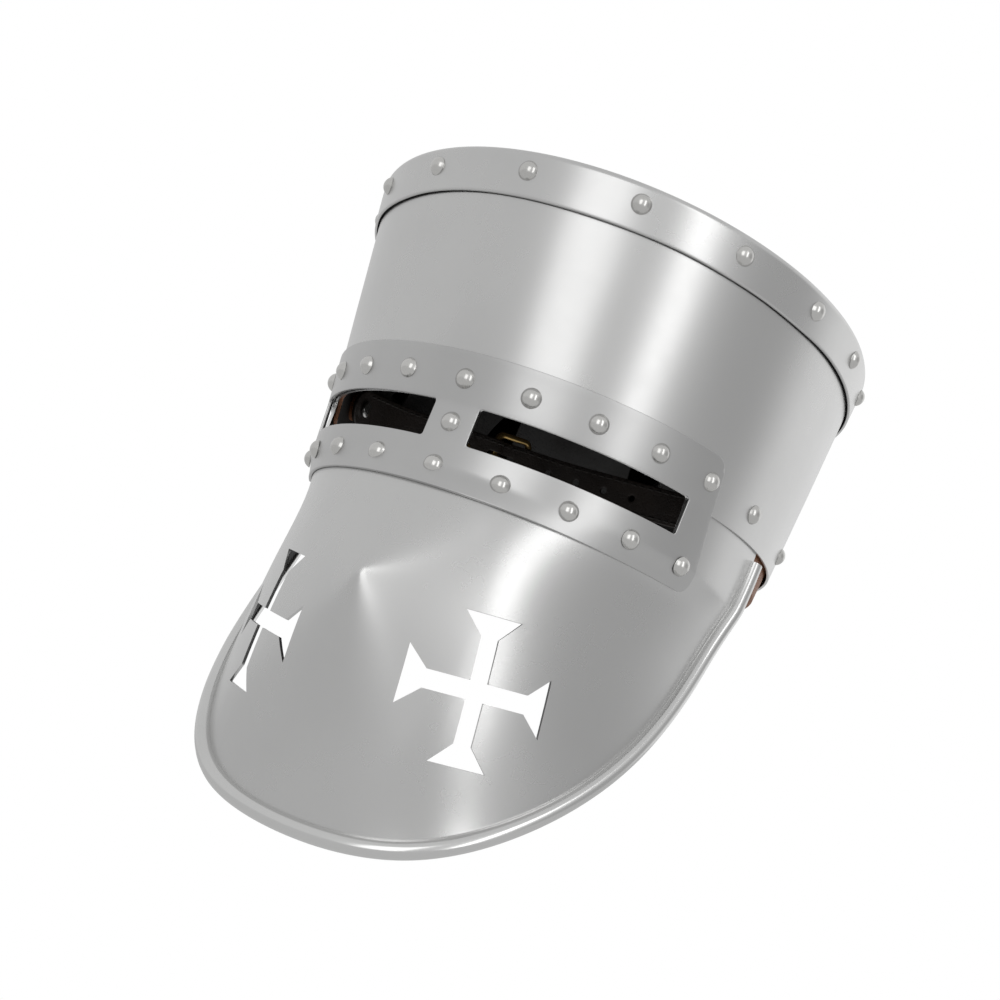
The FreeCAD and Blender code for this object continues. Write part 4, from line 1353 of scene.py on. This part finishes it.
@dataclass
class Liner:
    """Leather headband, its petals and the lace that draws them together."""

    form: HelmForm
    tool: RepeatTool
    gap: float = 2.6
    thick: float = 2.2
    top: float = 31.0
    low: float = -5.0
    back_low: float = -11.5
    back_turn: float = math.radians(91)
    front_low: float = 4.2
    notch_turn: float = math.radians(56.5)
    reach: float = 118.0
    petals: int = 8
    petal_thick: float = 1.8
    tip_reach: float = 26.0
    waist: tuple[float, float] = (84.0, 31.0)
    foot: tuple[float, float] = (140.0, 36.0)
    tip_half: float = 7.0
    dome: tuple[float, float, float] = (99.4, 123.0, 60.0)
    dome_y: float = 7.1
    dome_z: float = 24.0
    foot_z: float = 22.2
    lace_radius: float = 30.0
    lace_below: float = 5.6

    def _band(self) -> bpy.types.Object:
        """Builds the headband, with its butt seam behind."""
        turn, edge = self.notch_turn * self.reach, (math.pi - 0.002) * self.reach
        corner = 3.0
        drop = self.back_turn * self.reach
        outline = np.array([(-edge, self.back_low), (-drop - 4, self.back_low), (-drop, self.low),
                            (-turn, self.low), (-turn, self.front_low - corner),
                            (-turn + corner, self.front_low), (turn - corner, self.front_low),
                            (turn, self.front_low - corner), (turn, self.low), (drop, self.low),
                            (drop + 4, self.back_low), (edge, self.back_low),
                            (edge, self.top), (-edge, self.top)])

        def place(flat: Array) -> Array:
            """Bends flat places to shape."""
            points = self.form.skull(flat[:, 0] / self.reach, flat[:, 1], -self.gap)
            return points + radial(points) * (0.25 * ripple(points, 50, 21))[:, None]

        band = panel("headband", outline, [], place, 3.4, 1.8)
        turn_outwards(band, radial)
        # The headband's inner face gets the near-black painted-shade leather.
        for finish in (Finish.LINER, Finish.PETAL):
            band.data.materials.append(finish.material)
        hide_edges(band, self.thick, backed=True)
        seams = [self._seam("top_stitches", self.top - 2.6, math.pi),
                 self._seam("low_stitches", self.front_low + 2.4, self.notch_turn)]
        return joined("headband", [band, *seams])

    def _seam(self, name: str, z: float, far: float) -> bpy.types.Object:
        """Row of stitches on the headband's inner face."""
        form = self.form
        turns = np.linspace(0, far, 2000)
        line = form.skull(turns, z, -self.gap)
        length = np.sum(np.linalg.norm(np.diff(line, axis=0), axis=1))
        half = np.arange(2.4, length - 2, 4.8)
        inside = -(self.gap + self.thick)
        places, normals = form.spaced(form.skull, z, inside, np.concatenate([-half[::-1], half]))
        stitch = stitch_form()
        row = self.tool.row(name, places, -normals, np.cross(UP, normals), stitch, Finish.THREAD,
                            31, spin=0.06, tilt=0.04, spread=0.06)
        bpy.data.objects.remove(stitch)
        return row

    def _petal_lines(self, turn: float, shares: Array) -> Array:
        """Lines over the dome from tip to foot, one for each share of the width."""
        out = np.array([math.sin(turn), -math.cos(turn)])
        side = np.array([math.cos(turn), math.sin(turn)])
        lines = []
        for share in shares:
            reach = np.linspace(self.tip_reach, 135.0, 2500)
            half = np.interp(reach, [self.tip_reach, self.waist[0], self.foot[0]],
                             [self.tip_half, self.waist[1], self.foot[1]])
            flat = reach[:, None] * out + (share * half)[:, None] * side
            size = (flat[:, 0] / self.dome[0]) ** 2 + (flat[:, 1] / self.dome[1]) ** 2
            flat, size = flat[size < 1], size[size < 1]
            z = self.dome_z + self.dome[2] * np.sqrt(1 - size)
            line = np.column_stack([flat[:, 0], flat[:, 1] + self.dome_y, z])
            line = np.concatenate([line, line[-1:] * [1, 1, 0] + [0, 0, self.foot_z]])
            gone = np.concatenate([[0], np.cumsum(np.linalg.norm(np.diff(line, axis=0), axis=1))])
            at = np.linspace(0, gone[-1], 60)
            lines.append(np.stack([np.interp(at, gone, line[:, k]) for k in range(3)], 1))
        return np.array(lines)

    def _petal(self, index: int) -> bpy.types.Object:
        """Builds one petal with its lace holes."""
        turn = FULL_TURN * (index + 0.5) / self.petals
        shares = np.linspace(-1, 1, 17)
        lines = self._petal_lines(turn, shares)
        long, wide = 118.0, 34.0

        def place(flat: Array) -> Array:
            """Bends flat places to shape."""
            col = np.clip((flat[:, 0] / wide + 1) * 8, 0, 15.999)
            row = np.clip(flat[:, 1] / long * 59, 0, 58.999)
            c, r = col.astype(int), row.astype(int)
            fc, fr = (col - c)[:, None], (row - r)[:, None]
            points = ((lines[c, r] * (1 - fc) + lines[c + 1, r] * fc) * (1 - fr)
                      + (lines[c, r + 1] * (1 - fc) + lines[c + 1, r + 1] * fc) * fr)
            sag = np.sin(np.clip(flat[:, 1] / long, 0, 1) * math.pi)
            points[:, 2] -= sag * (0.5 + 0.45 * ripple(points, 45, 40 + index))
            return points

        outline = rounded_box((-wide, 0.0), (wide, long), 2.5)
        hole = [np.array([math.cos(a), math.sin(a)]) * [5.5, 1.5] for a in np.arange(12) * FULL_TURN / 12]
        holes = [np.array(hole) + [x, 8.0] for x in (-17.0, 17.0)]
        petal = panel("petal_%d" % (index + 1), outline, holes, place, 3.0, 1.8)
        turn_outwards(petal, lambda p: unit(p - np.array([0, self.dome_y, self.dome_z - 30])))
        hide_edges(petal, self.petal_thick)
        # The petals get the near-black painted-shade leather.
        finished(petal, Finish.PETAL)
        return dressed(petal, "helm", "liner_leather", "liner_tongue_%d" % (index + 1))

    def _lace(self) -> bpy.types.Object:
        """Builds the lace ring and the two loops of its knot."""
        share = 1 - (self.lace_radius / self.dome[1]) ** 2
        height = self.dome_z + self.dome[2] * math.sqrt(share) - self.lace_below
        angle = np.linspace(0, FULL_TURN, 192, endpoint=False)
        wave = 0.35 * np.sin(angle * 8)
        line = np.stack([self.lace_radius * np.sin(angle), self.dome_y + self.lace_radius
                         * np.cos(angle), height + wave], 1)
        ring, _ = sweep(line, np.broadcast_to(UP, line.shape), rounded_bar(3.0, 2.2, 0.8), True)
        parts = [rod("lace", ring, closed=True)]
        start = np.array([0.0, self.dome_y + self.lace_radius, height - 0.6])
        for k, (heading, tilt) in enumerate(((-1, 0.5), (1, -0.5))):
            angle = np.linspace(0, FULL_TURN, 40, endpoint=False)
            loop = np.stack([np.sin(angle) * 1.0 + heading * 1.4, np.cos(angle) * 2.6,
                             np.sin(angle + tilt) * 2.4], 1) + start
            points, _ = sweep(loop, np.broadcast_to(np.array([1.0, 0, 0]), loop.shape),
                              rounded_bar(1.6, 2.6, 0.6), True)
            parts.append(rod("knot_%d" % k, points, closed=True))
        lace = joined("lace", parts)
        finished(lace, Finish.LACE)
        return dressed(lace, "helm", "lace_leather", "liner_lace")

    def build(self) -> list[bpy.types.Object]:
        """Builds the whole liner."""
        made = [dressed(self._band(), "helm", "liner_leather", "liner_band")]
        made += [self._petal(k) for k in range(self.petals)]
        return made + [self._lace()]


class Side(Enum):
    """Wearer's side by the sign of X."""

    RIGHT = 1
    LEFT = -1


@dataclass
class ChinStrap:
    """Two-part chin strap with its buckle, stowed backwards inside the skull."""

    form: HelmForm
    tool: RepeatTool
    y: float = -30.3
    z: float = 11.2
    side: float = 91.2
    thick: float = 2.0
    fold_thick: float = 1.8
    width: float = 18.0
    end: float = 9.0
    stow: float = math.radians(100.0)
    knee: tuple[float, float] = (91.2, 42.0)
    chin: tuple[float, float] = (34.0, 122.0)
    knee_round: float = 40.0
    chin_round: float = 30.0
    bar_from_chin: float = 43.0
    bar: float = 1.6
    frame_long: float = 19.0
    frame_half: float = 12.2
    prong: float = 1.2
    fold_gap: float = 0.3
    slot_half: float = 2.2
    keeper_at: float = -32.5
    keeper_long: float = 7.0
    tail_low: float = 0.3

    def __post_init__(self) -> None:
        """Works out the buckle's frame of reference in the strap's plane."""
        run = math.hypot(self.knee[0] - self.chin[0], self.chin[1] - self.knee[1])
        self.along = np.array([self.knee[0] - self.chin[0], self.chin[1] - self.knee[1]]) / run
        self.away = np.array([-self.along[1], self.along[0]])
        self.main_w = -self.bar - 0.2 - self.thick / 2
        self.fold_reach = self.fold_thick / 2 + self.bar + self.fold_gap
        self.bar_at = (np.array([-self.chin[0], self.chin[1]]) - self.along * self.bar_from_chin
                       - self.away * self.main_w)

    def buckle(self, u: float, w: float) -> Array:
        """Buckle frame to the strap's plane."""
        return self.bar_at + self.along * u + self.away * w

    def space(self, flat: Array, v: Array | float = 0.0) -> Array:
        """Strap plane to space, with the strap stowed."""
        flat = np.asarray(flat, float)
        y, z = np.broadcast_arrays(v, -flat[..., 1])
        cos, sin = math.cos(self.stow), math.sin(self.stow)
        return np.stack([flat[..., 0], self.y + y * cos - z * sin, self.z + y * sin + z * cos], -1)

    def _rounded(self, points: Sequence[Array], radii: Sequence[float]) -> list[Array]:
        """Path with its corners replaced by arcs."""
        path = [np.asarray(points[0])]
        for before, corner, after, radius in zip(points, points[1:], points[2:], radii):
            to_before, to_after = unit(np.subtract(before, corner)), unit(np.subtract(after, corner))
            half = 0.5 * math.acos(float(np.clip(to_before @ to_after, -1, 1)))
            centre = corner + unit(to_before + to_after) * radius / math.sin(half)
            start = corner + to_before * radius / math.tan(half) - centre
            stop = corner + to_after * radius / math.tan(half) - centre
            sweep_angle = math.pi - 2 * half
            for share in np.linspace(0, 1, 17):
                mixed = (start * math.sin((1 - share) * sweep_angle)
                         + stop * math.sin(share * sweep_angle)) / math.sin(sweep_angle)
                path.append(centre + mixed)
        return path + [np.asarray(points[-1])]

    def _outline(self, length: float, tip: float) -> Array:
        """Flat outline with a round riveted end and a free end of given corner radius."""
        half = self.width / 2
        start = [(half - half * math.sin(a), half * math.cos(a))
                 for a in np.linspace(0, math.pi, 25)]
        stop = [(length - tip + tip * math.cos(a), math.copysign(half - tip, a) + tip * math.sin(a))
                for a in np.concatenate([np.linspace(-math.pi / 2, -0.01, 9),
                                         np.linspace(0.01, math.pi / 2, 9)])]
        return np.array(start + stop)

    def _strap(self, name: str, path: Sequence[Array], thick: float, holes: Sequence[Array],
               tip: float) -> bpy.types.Object:
        """Builds a strap along a path in its plane.

        Args:
            name: Object name.
            path: Middle layer of the leather.
            thick: Leather thickness.
            holes: Outlines along and across the strap.
            tip: Radius of the free end's corners.

        Returns:
            The closed strap with its edge stitches.
        """
        line = np.array(path)
        gone = np.concatenate([[0], np.cumsum(np.linalg.norm(np.diff(line, axis=0), axis=1))])
        fine = np.arange(0, gone[-1], 0.5)
        dense = np.stack([np.interp(fine, gone, line[:, k]) for k in (0, 1)], 1)
        kernel = np.ones(5) / 5
        for k in (0, 1):
            padded = np.pad(dense[:, k], 2, mode="reflect", reflect_type="odd")
            dense[:, k] = np.convolve(padded, kernel, "valid")
        slope = unit(np.gradient(dense, axis=0))
        normal = np.stack([-slope[:, 1], slope[:, 0]], 1)
        length = fine[-1]

        def layer(flat: Array, lift: float) -> Array:
            """Lays flat places along the strap's path."""
            mid = np.stack([np.interp(flat[:, 0], fine, dense[:, k]) for k in (0, 1)], 1)
            off = np.stack([np.interp(flat[:, 0], fine, normal[:, k]) for k in (0, 1)], 1)
            return self.space(mid + off * lift, flat[:, 1])

        sheet = panel(name, self._outline(length, tip), holes, lambda flat: layer(flat, thick / 2), 2.0, 1.1)
        probe = np.array([[length * 0.3, 0.0]])
        face = unit(layer(probe, 1.0) - layer(probe, 0.0))[0]
        mesh = sheet.data
        count = len(mesh.polygons)
        centre, normals = np.zeros(count * 3), np.zeros(count * 3)
        mesh.polygons.foreach_get("center", centre)
        mesh.polygons.foreach_get("normal", normals)
        near = np.argmin(np.sum((centre.reshape(-1, 3) / MM - layer(probe, 1.0)) ** 2, axis=1))
        if normals.reshape(-1, 3)[near] @ face < 0:
            mesh.flip_normals()
        hide_edges(sheet, thick)
        finished(sheet, Finish.STRAP)
        parts = [sheet]
        along = np.arange(14.0, length - 6.0, 4.6)
        stitch = stitch_form()
        for edge, across in enumerate((-self.width / 2 + 2.0, self.width / 2 - 2.0)):
            flat = np.column_stack([along, np.full(along.shape, across)])
            places = layer(flat, thick / 2)
            facing = unit(layer(flat, 2.0) - layer(flat, 0.0))
            heading = unit(layer(flat + [0.5, 0], 0.0) - layer(flat - [0.5, 0], 0.0))
            for flip in (1.0, -1.0):
                seat = places if flip > 0 else layer(flat, -thick / 2)
                parts.append(self.tool.row("%s_stitch_%d" % (name, edge), seat, facing * flip,
                                           heading, stitch, Finish.THREAD, 51 + edge, spin=0.05,
                                           tilt=0.04, spread=0.05))
        bpy.data.objects.remove(stitch)
        return joined(name, parts)

    def _long(self) -> bpy.types.Object:
        """Strap from the right side round the chin and through the buckle."""
        tail = [(24.0, self.main_w), (17.0, self.main_w), (2.2, 4.9), (-2.2, 4.9), (-15.5, 1.9),
                (-24.0, 1.9), (-28.0, self.tail_low), (-41.0, self.tail_low)]
        body = self._rounded([np.array([self.side, -self.end]), np.array(self.knee),
                              np.array(self.chin), np.array([-self.chin[0], self.chin[1]]),
                              self.buckle(24.0, self.main_w)],
                             (self.knee_round, self.chin_round, self.chin_round))
        path = body[:-1] + [self.buckle(u, w) for u, w in tail]
        length = float(np.sum(np.linalg.norm(np.diff(np.array(path), axis=0), axis=1)))
        slot = rounded_box((length - 55.2, -self.slot_half), (length - 41.2, self.slot_half), 1.5)
        hole = np.array([(math.cos(a), math.sin(a)) for a in np.arange(12) * FULL_TURN / 12]) * 1.7
        punched = [hole + [length - 60 - 16.0 * k, 0.0] for k in range(1, 5)]
        return self._strap("strap_long", path, self.thick, [slot, *punched], 7.0)

    def _short(self) -> bpy.types.Object:
        """Strap from the left side, folded back round the buckle's bar."""
        reach = self.fold_reach
        bend = [(reach * math.cos(a), reach * math.sin(a))
                for a in np.radians(np.arange(-90, 91, 10))]
        laid = -reach + self.fold_thick + 0.1
        fold = [self.buckle(u, w) for u, w in [(-39.0, -reach), *bend, (-15.0, laid), (-23.0, laid)]]
        head = self._rounded([np.array([-self.side, -self.end]),
                              np.array([-self.knee[0], self.knee[1]]), fold[0]],
                             (self.knee_round,))
        path = head[:-1] + fold
        length = float(np.sum(np.linalg.norm(np.diff(np.array(path), axis=0), axis=1)))
        slot = rounded_box((length - 38.0, -self.slot_half - 0.2),
                           (length - 18.0, self.slot_half + 0.2), 1.5)
        return self._strap("strap_short", path, self.fold_thick, [slot], 2.0)

    def _bar_rod(self, name: str, line: Array, ups: Array, radius: float | Array) -> bpy.types.Object:
        """Round bar along a line with rounded ends."""
        ring = circle(1.0, 16)
        radii = np.broadcast_to(radius, len(line))
        points, _ = sweep(line, np.broadcast_to(ups, line.shape), ring)
        points = line[:, None] + (points - line[:, None]) * radii[:, None, None]
        return rod(name, points)

    def _metal(self) -> list[bpy.types.Object]:
        """Builds the buckle's frame, its prong and the rivet in the fold."""
        corner = 3.2
        flat = rounded_bar(self.frame_long, 2 * self.frame_half, corner, 8)
        flat = resampled(flat + [self.frame_long / 2, 0.0], 1.0)
        places = np.array([self.space(self.buckle(u, 0.0), v) for u, v in flat])
        normal = unit(self.space(self.buckle(0, 1)) - self.space(self.buckle(0, 0)))
        ring, _ = sweep(places, np.broadcast_to(normal, places.shape),
                        rounded_bar(2 * self.bar, 2 * self.bar, 1.2, 4), True)
        frame = rod("buckle_frame_brass", ring, closed=True)
        finished(frame, Finish.BRASS)
        dressed(frame, "buckle", "brass_fittings", "buckle_frame")
        share = np.linspace(0, 1, 30)
        u = 2.2 + share * (self.frame_long - 0.7)
        w = 0.4 + share * (self.bar + self.prong - 0.15)
        line = np.array([self.space(self.buckle(a, b), 0.0) for a, b in zip(u, w)])
        slim = self.prong * (1.0 - 0.25 * share) * np.sqrt(np.clip((1.02 - share) * 14, 0, 1))
        reach = self._bar_rod("prong", line, normal, np.maximum(slim, 0.15))
        eye = self._eye(normal)
        prong = joined("buckle_prong_brass", [reach, eye])
        finished(prong, Finish.BRASS)
        dressed(prong, "prong", "brass_fittings", "buckle_prong")
        low = self.space(self.buckle(-19.0, -self.fold_reach - self.fold_thick / 2), 0.0)
        high = self.space(self.buckle(-19.0, -self.fold_reach + 1.5 * self.fold_thick + 0.1), 0.0)
        pin = high - low
        length = float(np.linalg.norm(pin))
        stud = turned("stud", [(0.0, -0.75), (1.3, -0.7), (2.5, -0.35), (2.6, 0.0), (1.5, 0.02),
                               (1.5, length - 0.02), (2.6, length), (2.5, length + 0.35),
                               (1.3, length + 0.7), (0.0, length + 0.75)], 20)
        row = self.tool.row("fold_stud", low[None], unit(pin)[None], np.array([[1.0, 0, 0]]),
                            stud, Finish.BRASS, 71, spin=0.0, tilt=0.0, spread=0.0)
        bpy.data.objects.remove(stud)
        dressed(row, "chin_strap", "brass_fittings", "strap_fold_rivet")
        return [frame, prong, row]

    def _eye(self, normal: Array) -> bpy.types.Object:
        """Loop of the prong round the bar."""
        centre = self.space(self.buckle(0, 0), 0.0)
        u_way = unit(self.space(self.buckle(1, 0)) - self.space(self.buckle(0, 0)))
        v_way = unit(np.cross(normal, u_way))
        angle = np.arange(32) * FULL_TURN / 32
        line = centre + (self.bar + 0.7) * (np.cos(angle)[:, None] * u_way
                                            + np.sin(angle)[:, None] * normal)
        points, _ = sweep(line, np.broadcast_to(v_way, line.shape), rounded_bar(1.2, 3.0, 0.4), True)
        return rod("prong_eye", points, closed=True)

    def _keeper(self) -> bpy.types.Object:
        """Leather loop that holds the free end down."""
        low = -self.fold_reach - self.fold_thick / 2 - 0.3
        high = self.tail_low + self.thick / 2 + 0.4
        wall = 1.5
        loop = rounded_bar(high - low + wall, self.width + 1.0 + wall, 1.2, 5)
        loop = resampled(loop + [(high + low) / 2, 0.0], 1.2)
        line = np.array([self.space(self.buckle(self.keeper_at, w), v) for w, v in loop])
        u_way = unit(self.space(self.buckle(1, 0)) - self.space(self.buckle(0, 0)))
        points, _ = sweep(line, np.broadcast_to(u_way, line.shape),
                          rounded_bar(wall, self.keeper_long, 0.5), True)
        keeper = rod("keeper_loop", points, closed=True)
        finished(keeper, Finish.STRAP)
        return dressed(keeper, "keeper", "strap_leather", "strap_keeper")

    def _pads(self, rivets: Rivets) -> list[bpy.types.Object]:
        """Builds the leather pads and the side rivets that carry the strap."""
        made = []
        band_out = self.form.skull(0.5 * math.pi, self.z, -rivets.liner_grip - 0.1)[0]
        near = self.side + self.thick / 2 + 0.15
        y_share = math.sqrt(1 - (self.y / 120.0) ** 2)
        far = band_out * y_share
        pad = turned("pad_form", [(1.9, 0.0), (6.0, 0.0), (6.5, 0.5), (6.5, far - near - 0.2),
                                  (1.9, far - near)], 32, hollow=True)
        ways = np.array([[side.value, 0.0, 0.0] for side in Side])
        seats = np.array([[side.value * near, self.y, self.z] for side in Side])
        pads = self.tool.row("strap_pads", seats, ways, np.broadcast_to(UP, ways.shape), pad,
                             Finish.LINER, 61, tilt=0.0)
        bpy.data.objects.remove(pad)
        made.append(dressed(pads, "helm", "liner_leather", "strap_spacers"))
        places, normals = rivets.at_side(self.y)
        inner = self.side - self.thick / 2 - 0.4
        for side, name in ((Side.LEFT, "left"), (Side.RIGHT, "right")):
            k = 0 if side is Side.LEFT else 1
            head = rivets.template(1.5, tail=False)
            outside = self.tool.row("head_" + name, places[k:k + 1], normals[k:k + 1],
                                    np.cross(UP, normals[k:k + 1]), head, Finish.RIVET, 62)
            bpy.data.objects.remove(head)
            length = abs(places[k, 0]) - inner - 1.0
            pin = turned("pin", [(0.0, -1.6), (2.2, -1.5), (3.4, -1.1), (3.7, -0.5), (3.6, 0.0),
                                 (1.8, 0.0), (1.8, length), (0.0, length)], 28)
            seat = np.array([[side.value * inner, self.y, self.z]])
            inside = self.tool.row("pin_" + name, seat, np.array([[side.value, 0.0, 0.0]]),
                                   UP[None], pin, Finish.RIVET, 63, tilt=0.0)
            bpy.data.objects.remove(pin)
            both = joined("strap_rivet_%s_steel" % name, [outside, inside])
            made.append(dressed(both, "helm", "rivet_steel", "strap_rivet_" + name))
        return made

    def build(self, rivets: Rivets) -> list[bpy.types.Object]:
        """Builds the strap with all of its fittings."""
        made = [dressed(self._long(), "chin_strap", "strap_leather", "chin_strap_long"),
                dressed(self._short(), "chin_strap", "strap_leather", "chin_strap_short"),
                self._keeper()]
        return made + self._metal() + self._pads(rivets)


# ---- studio -------------------------------------------------------------
def bearing(azimuth: float, elevation: float) -> Vector:
    """Direction of an azimuth and elevation in degrees, 0 straight in front of the helm."""
    a, e = math.radians(azimuth), math.radians(elevation)
    return Vector((math.sin(a) * math.cos(e), -math.cos(a) * math.cos(e), math.sin(e)))


@dataclass(frozen=True)
class SoftLight:
    """Rectangular soft box that looks at the helm."""

    name: str
    azimuth: float
    elevation: float
    size: tuple[float, float]
    glow: float
    away: float = 1.6

    def build(self, target: Vector) -> None:
        """Hangs the light."""
        lamp = bpy.data.lights.new(self.name, "AREA")
        lamp.shape = "RECTANGLE"
        lamp.size, lamp.size_y = self.size
        lamp.energy = self.glow * math.pi * self.size[0] * self.size[1]
        holder = bpy.data.objects.new(self.name, lamp)
        heading = bearing(self.azimuth, self.elevation)
        holder.location = target + heading * self.away
        holder.rotation_euler = heading.to_track_quat("Z", "Y").to_euler()
        bpy.context.scene.collection.objects.link(holder)


@dataclass(frozen=True)
class Wash:
    """Soft patch of the surround that is brighter or darker than the rest."""

    azimuth: float
    elevation: float
    inner: float
    outer: float
    change: float


@dataclass
class Studio:
    """Camera, floor, pale surround and soft lights."""

    azimuth: float = math.radians(24.47)
    elevation: float = math.radians(-10.68)
    roll: float = math.radians(20.86)
    camera_at: tuple[float, float, float] = (0.2612, -0.6242, -0.1355)
    lens: float = 54.0
    floor_z: float = -0.30
    floor_glow: float = 0.6
    surround: float = 0.7
    middle: tuple[float, float, float] = (0.0, 0.0, -0.03)
    washes: tuple[Wash, ...] = (
        Wash(100.0, 10.0, 10.0, 34.0, -0.24),
        Wash(155.0, 15.0, 18.0, 40.0, 0.25),
    )
    lights: tuple[SoftLight, ...] = (
        SoftLight("front", 13.0, 8.0, (0.72, 1.5), 0.95),
        SoftLight("side", 56.0, 14.0, (0.36, 1.7), 1.5),
    )

    def _axes(self) -> Matrix:
        """Camera turn from its azimuth, elevation and roll."""
        back = bearing(math.degrees(self.azimuth), math.degrees(self.elevation))
        level = Vector((0, 0, 1)).cross(back).normalized()
        upright = back.cross(level)
        right = level * math.cos(self.roll) + upright * math.sin(self.roll)
        up = upright * math.cos(self.roll) - level * math.sin(self.roll)
        return Matrix((right, up, back)).transposed()

    def _camera(self) -> None:
        """Sets the camera up."""
        eye = bpy.data.cameras.new("camera")
        eye.lens = self.lens
        eye.sensor_width = 36.0
        eye.clip_start, eye.clip_end = 0.01, 50.0
        holder = bpy.data.objects.new("camera", eye)
        holder.matrix_world = Matrix.Translation(Vector(self.camera_at)) @ self._axes().to_4x4()
        bpy.context.scene.collection.objects.link(holder)
        bpy.context.scene.camera = holder

    def _seen_white(self, tree: bpy.types.NodeTree, lit: bpy.types.NodeSocket,
                    kind: str) -> bpy.types.NodeSocket:
        """Plain white where it is looked at, and a given shader where it lights the helm."""
        path = tree.nodes.new("ShaderNodeLightPath")
        white = tree.nodes.new(kind)
        white.inputs["Color"].default_value = (1, 1, 1, 1)
        white.inputs["Strength"].default_value = 1.0
        mix = tree.nodes.new("ShaderNodeMixShader")
        tree.links.new(path.outputs["Is Camera Ray"], mix.inputs[0])
        tree.links.new(lit, mix.inputs[1])
        tree.links.new(white.outputs[0], mix.inputs[2])
        return mix.outputs[0]

    def _floor(self) -> bpy.types.Object:
        """Lays the pale floor."""
        half = 6.0 / MM
        z = self.floor_z / MM
        floor = mesh_piece("floor", np.array([(-half, -half, z), (half, -half, z), (half, half, z),
                                              (-half, half, z)]), [(0, 1, 2, 3)])
        bench = Bench("pale_floor")
        tree = bench.tree
        glow = tree.nodes.new("ShaderNodeEmission")
        glow.inputs["Strength"].default_value = self.floor_glow
        end = next(n for n in tree.nodes if n.type == "OUTPUT_MATERIAL")
        tree.links.new(self._seen_white(tree, glow.outputs[0], "ShaderNodeEmission"), end.inputs[0])
        floor.data.materials.append(bench.material)
        return floor

    def _world(self) -> None:
        """Hangs the surround, with its soft washes."""
        world = bpy.data.worlds.new("surround")
        bpy.context.scene.world = world
        world.use_nodes = True
        tree = world.node_tree
        tree.nodes.clear()
        coords = tree.nodes.new("ShaderNodeTexCoord")
        level: Signal | float = self.surround
        for wash in self.washes:
            dot = tree.nodes.new("ShaderNodeVectorMath")
            dot.operation = "DOT_PRODUCT"
            dot.inputs[1].default_value = bearing(wash.azimuth, wash.elevation)
            tree.links.new(coords.outputs["Generated"], dot.inputs[0])
            near = Signal(tree, dot.outputs["Value"]).rise(math.cos(math.radians(wash.outer)),
                                                           math.cos(math.radians(wash.inner)))
            level = near * wash.change + level
        lit = tree.nodes.new("ShaderNodeBackground")
        lit.inputs["Color"].default_value = (1, 1, 1, 1)
        feed(tree, lit.inputs["Strength"], level)
        end = tree.nodes.new("ShaderNodeOutputWorld")
        tree.links.new(self._seen_white(tree, lit.outputs[0], "ShaderNodeBackground"), end.inputs[0])

    def build(self) -> None:
        """Builds the studio."""
        self._camera()
        self._world()
        self._floor()
        for light in self.lights:
            light.build(Vector(self.middle))
        bpy.context.scene.view_settings.view_transform = "Standard"


def main() -> None:
    """Builds every sub-assembly and dresses the design with it."""
    logging.basicConfig(level=logging.INFO, format="%(name)s: %(message)s")
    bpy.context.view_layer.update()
    tool = RepeatTool()
    dressed(Crown(FORM).build(), "helm", "sheet_steel", "crown_plate")
    dressed(Skull(FORM).build(), "helm", "sheet_steel", "skull_shell")
    sight = SightPlate(FORM)
    dressed(sight.build(), "helm", "sheet_steel", "sight_plate")
    dressed(FacePlate(FORM, sight).build(), "helm", "sheet_steel", "face_plate", "rim_wire")
    rivets = Rivets(FORM, tool)
    rivets.build()
    Liner(FORM, tool).build()
    ChinStrap(FORM, tool).build(rivets)
    Studio().build()


if __name__ == "__main__":
    main()
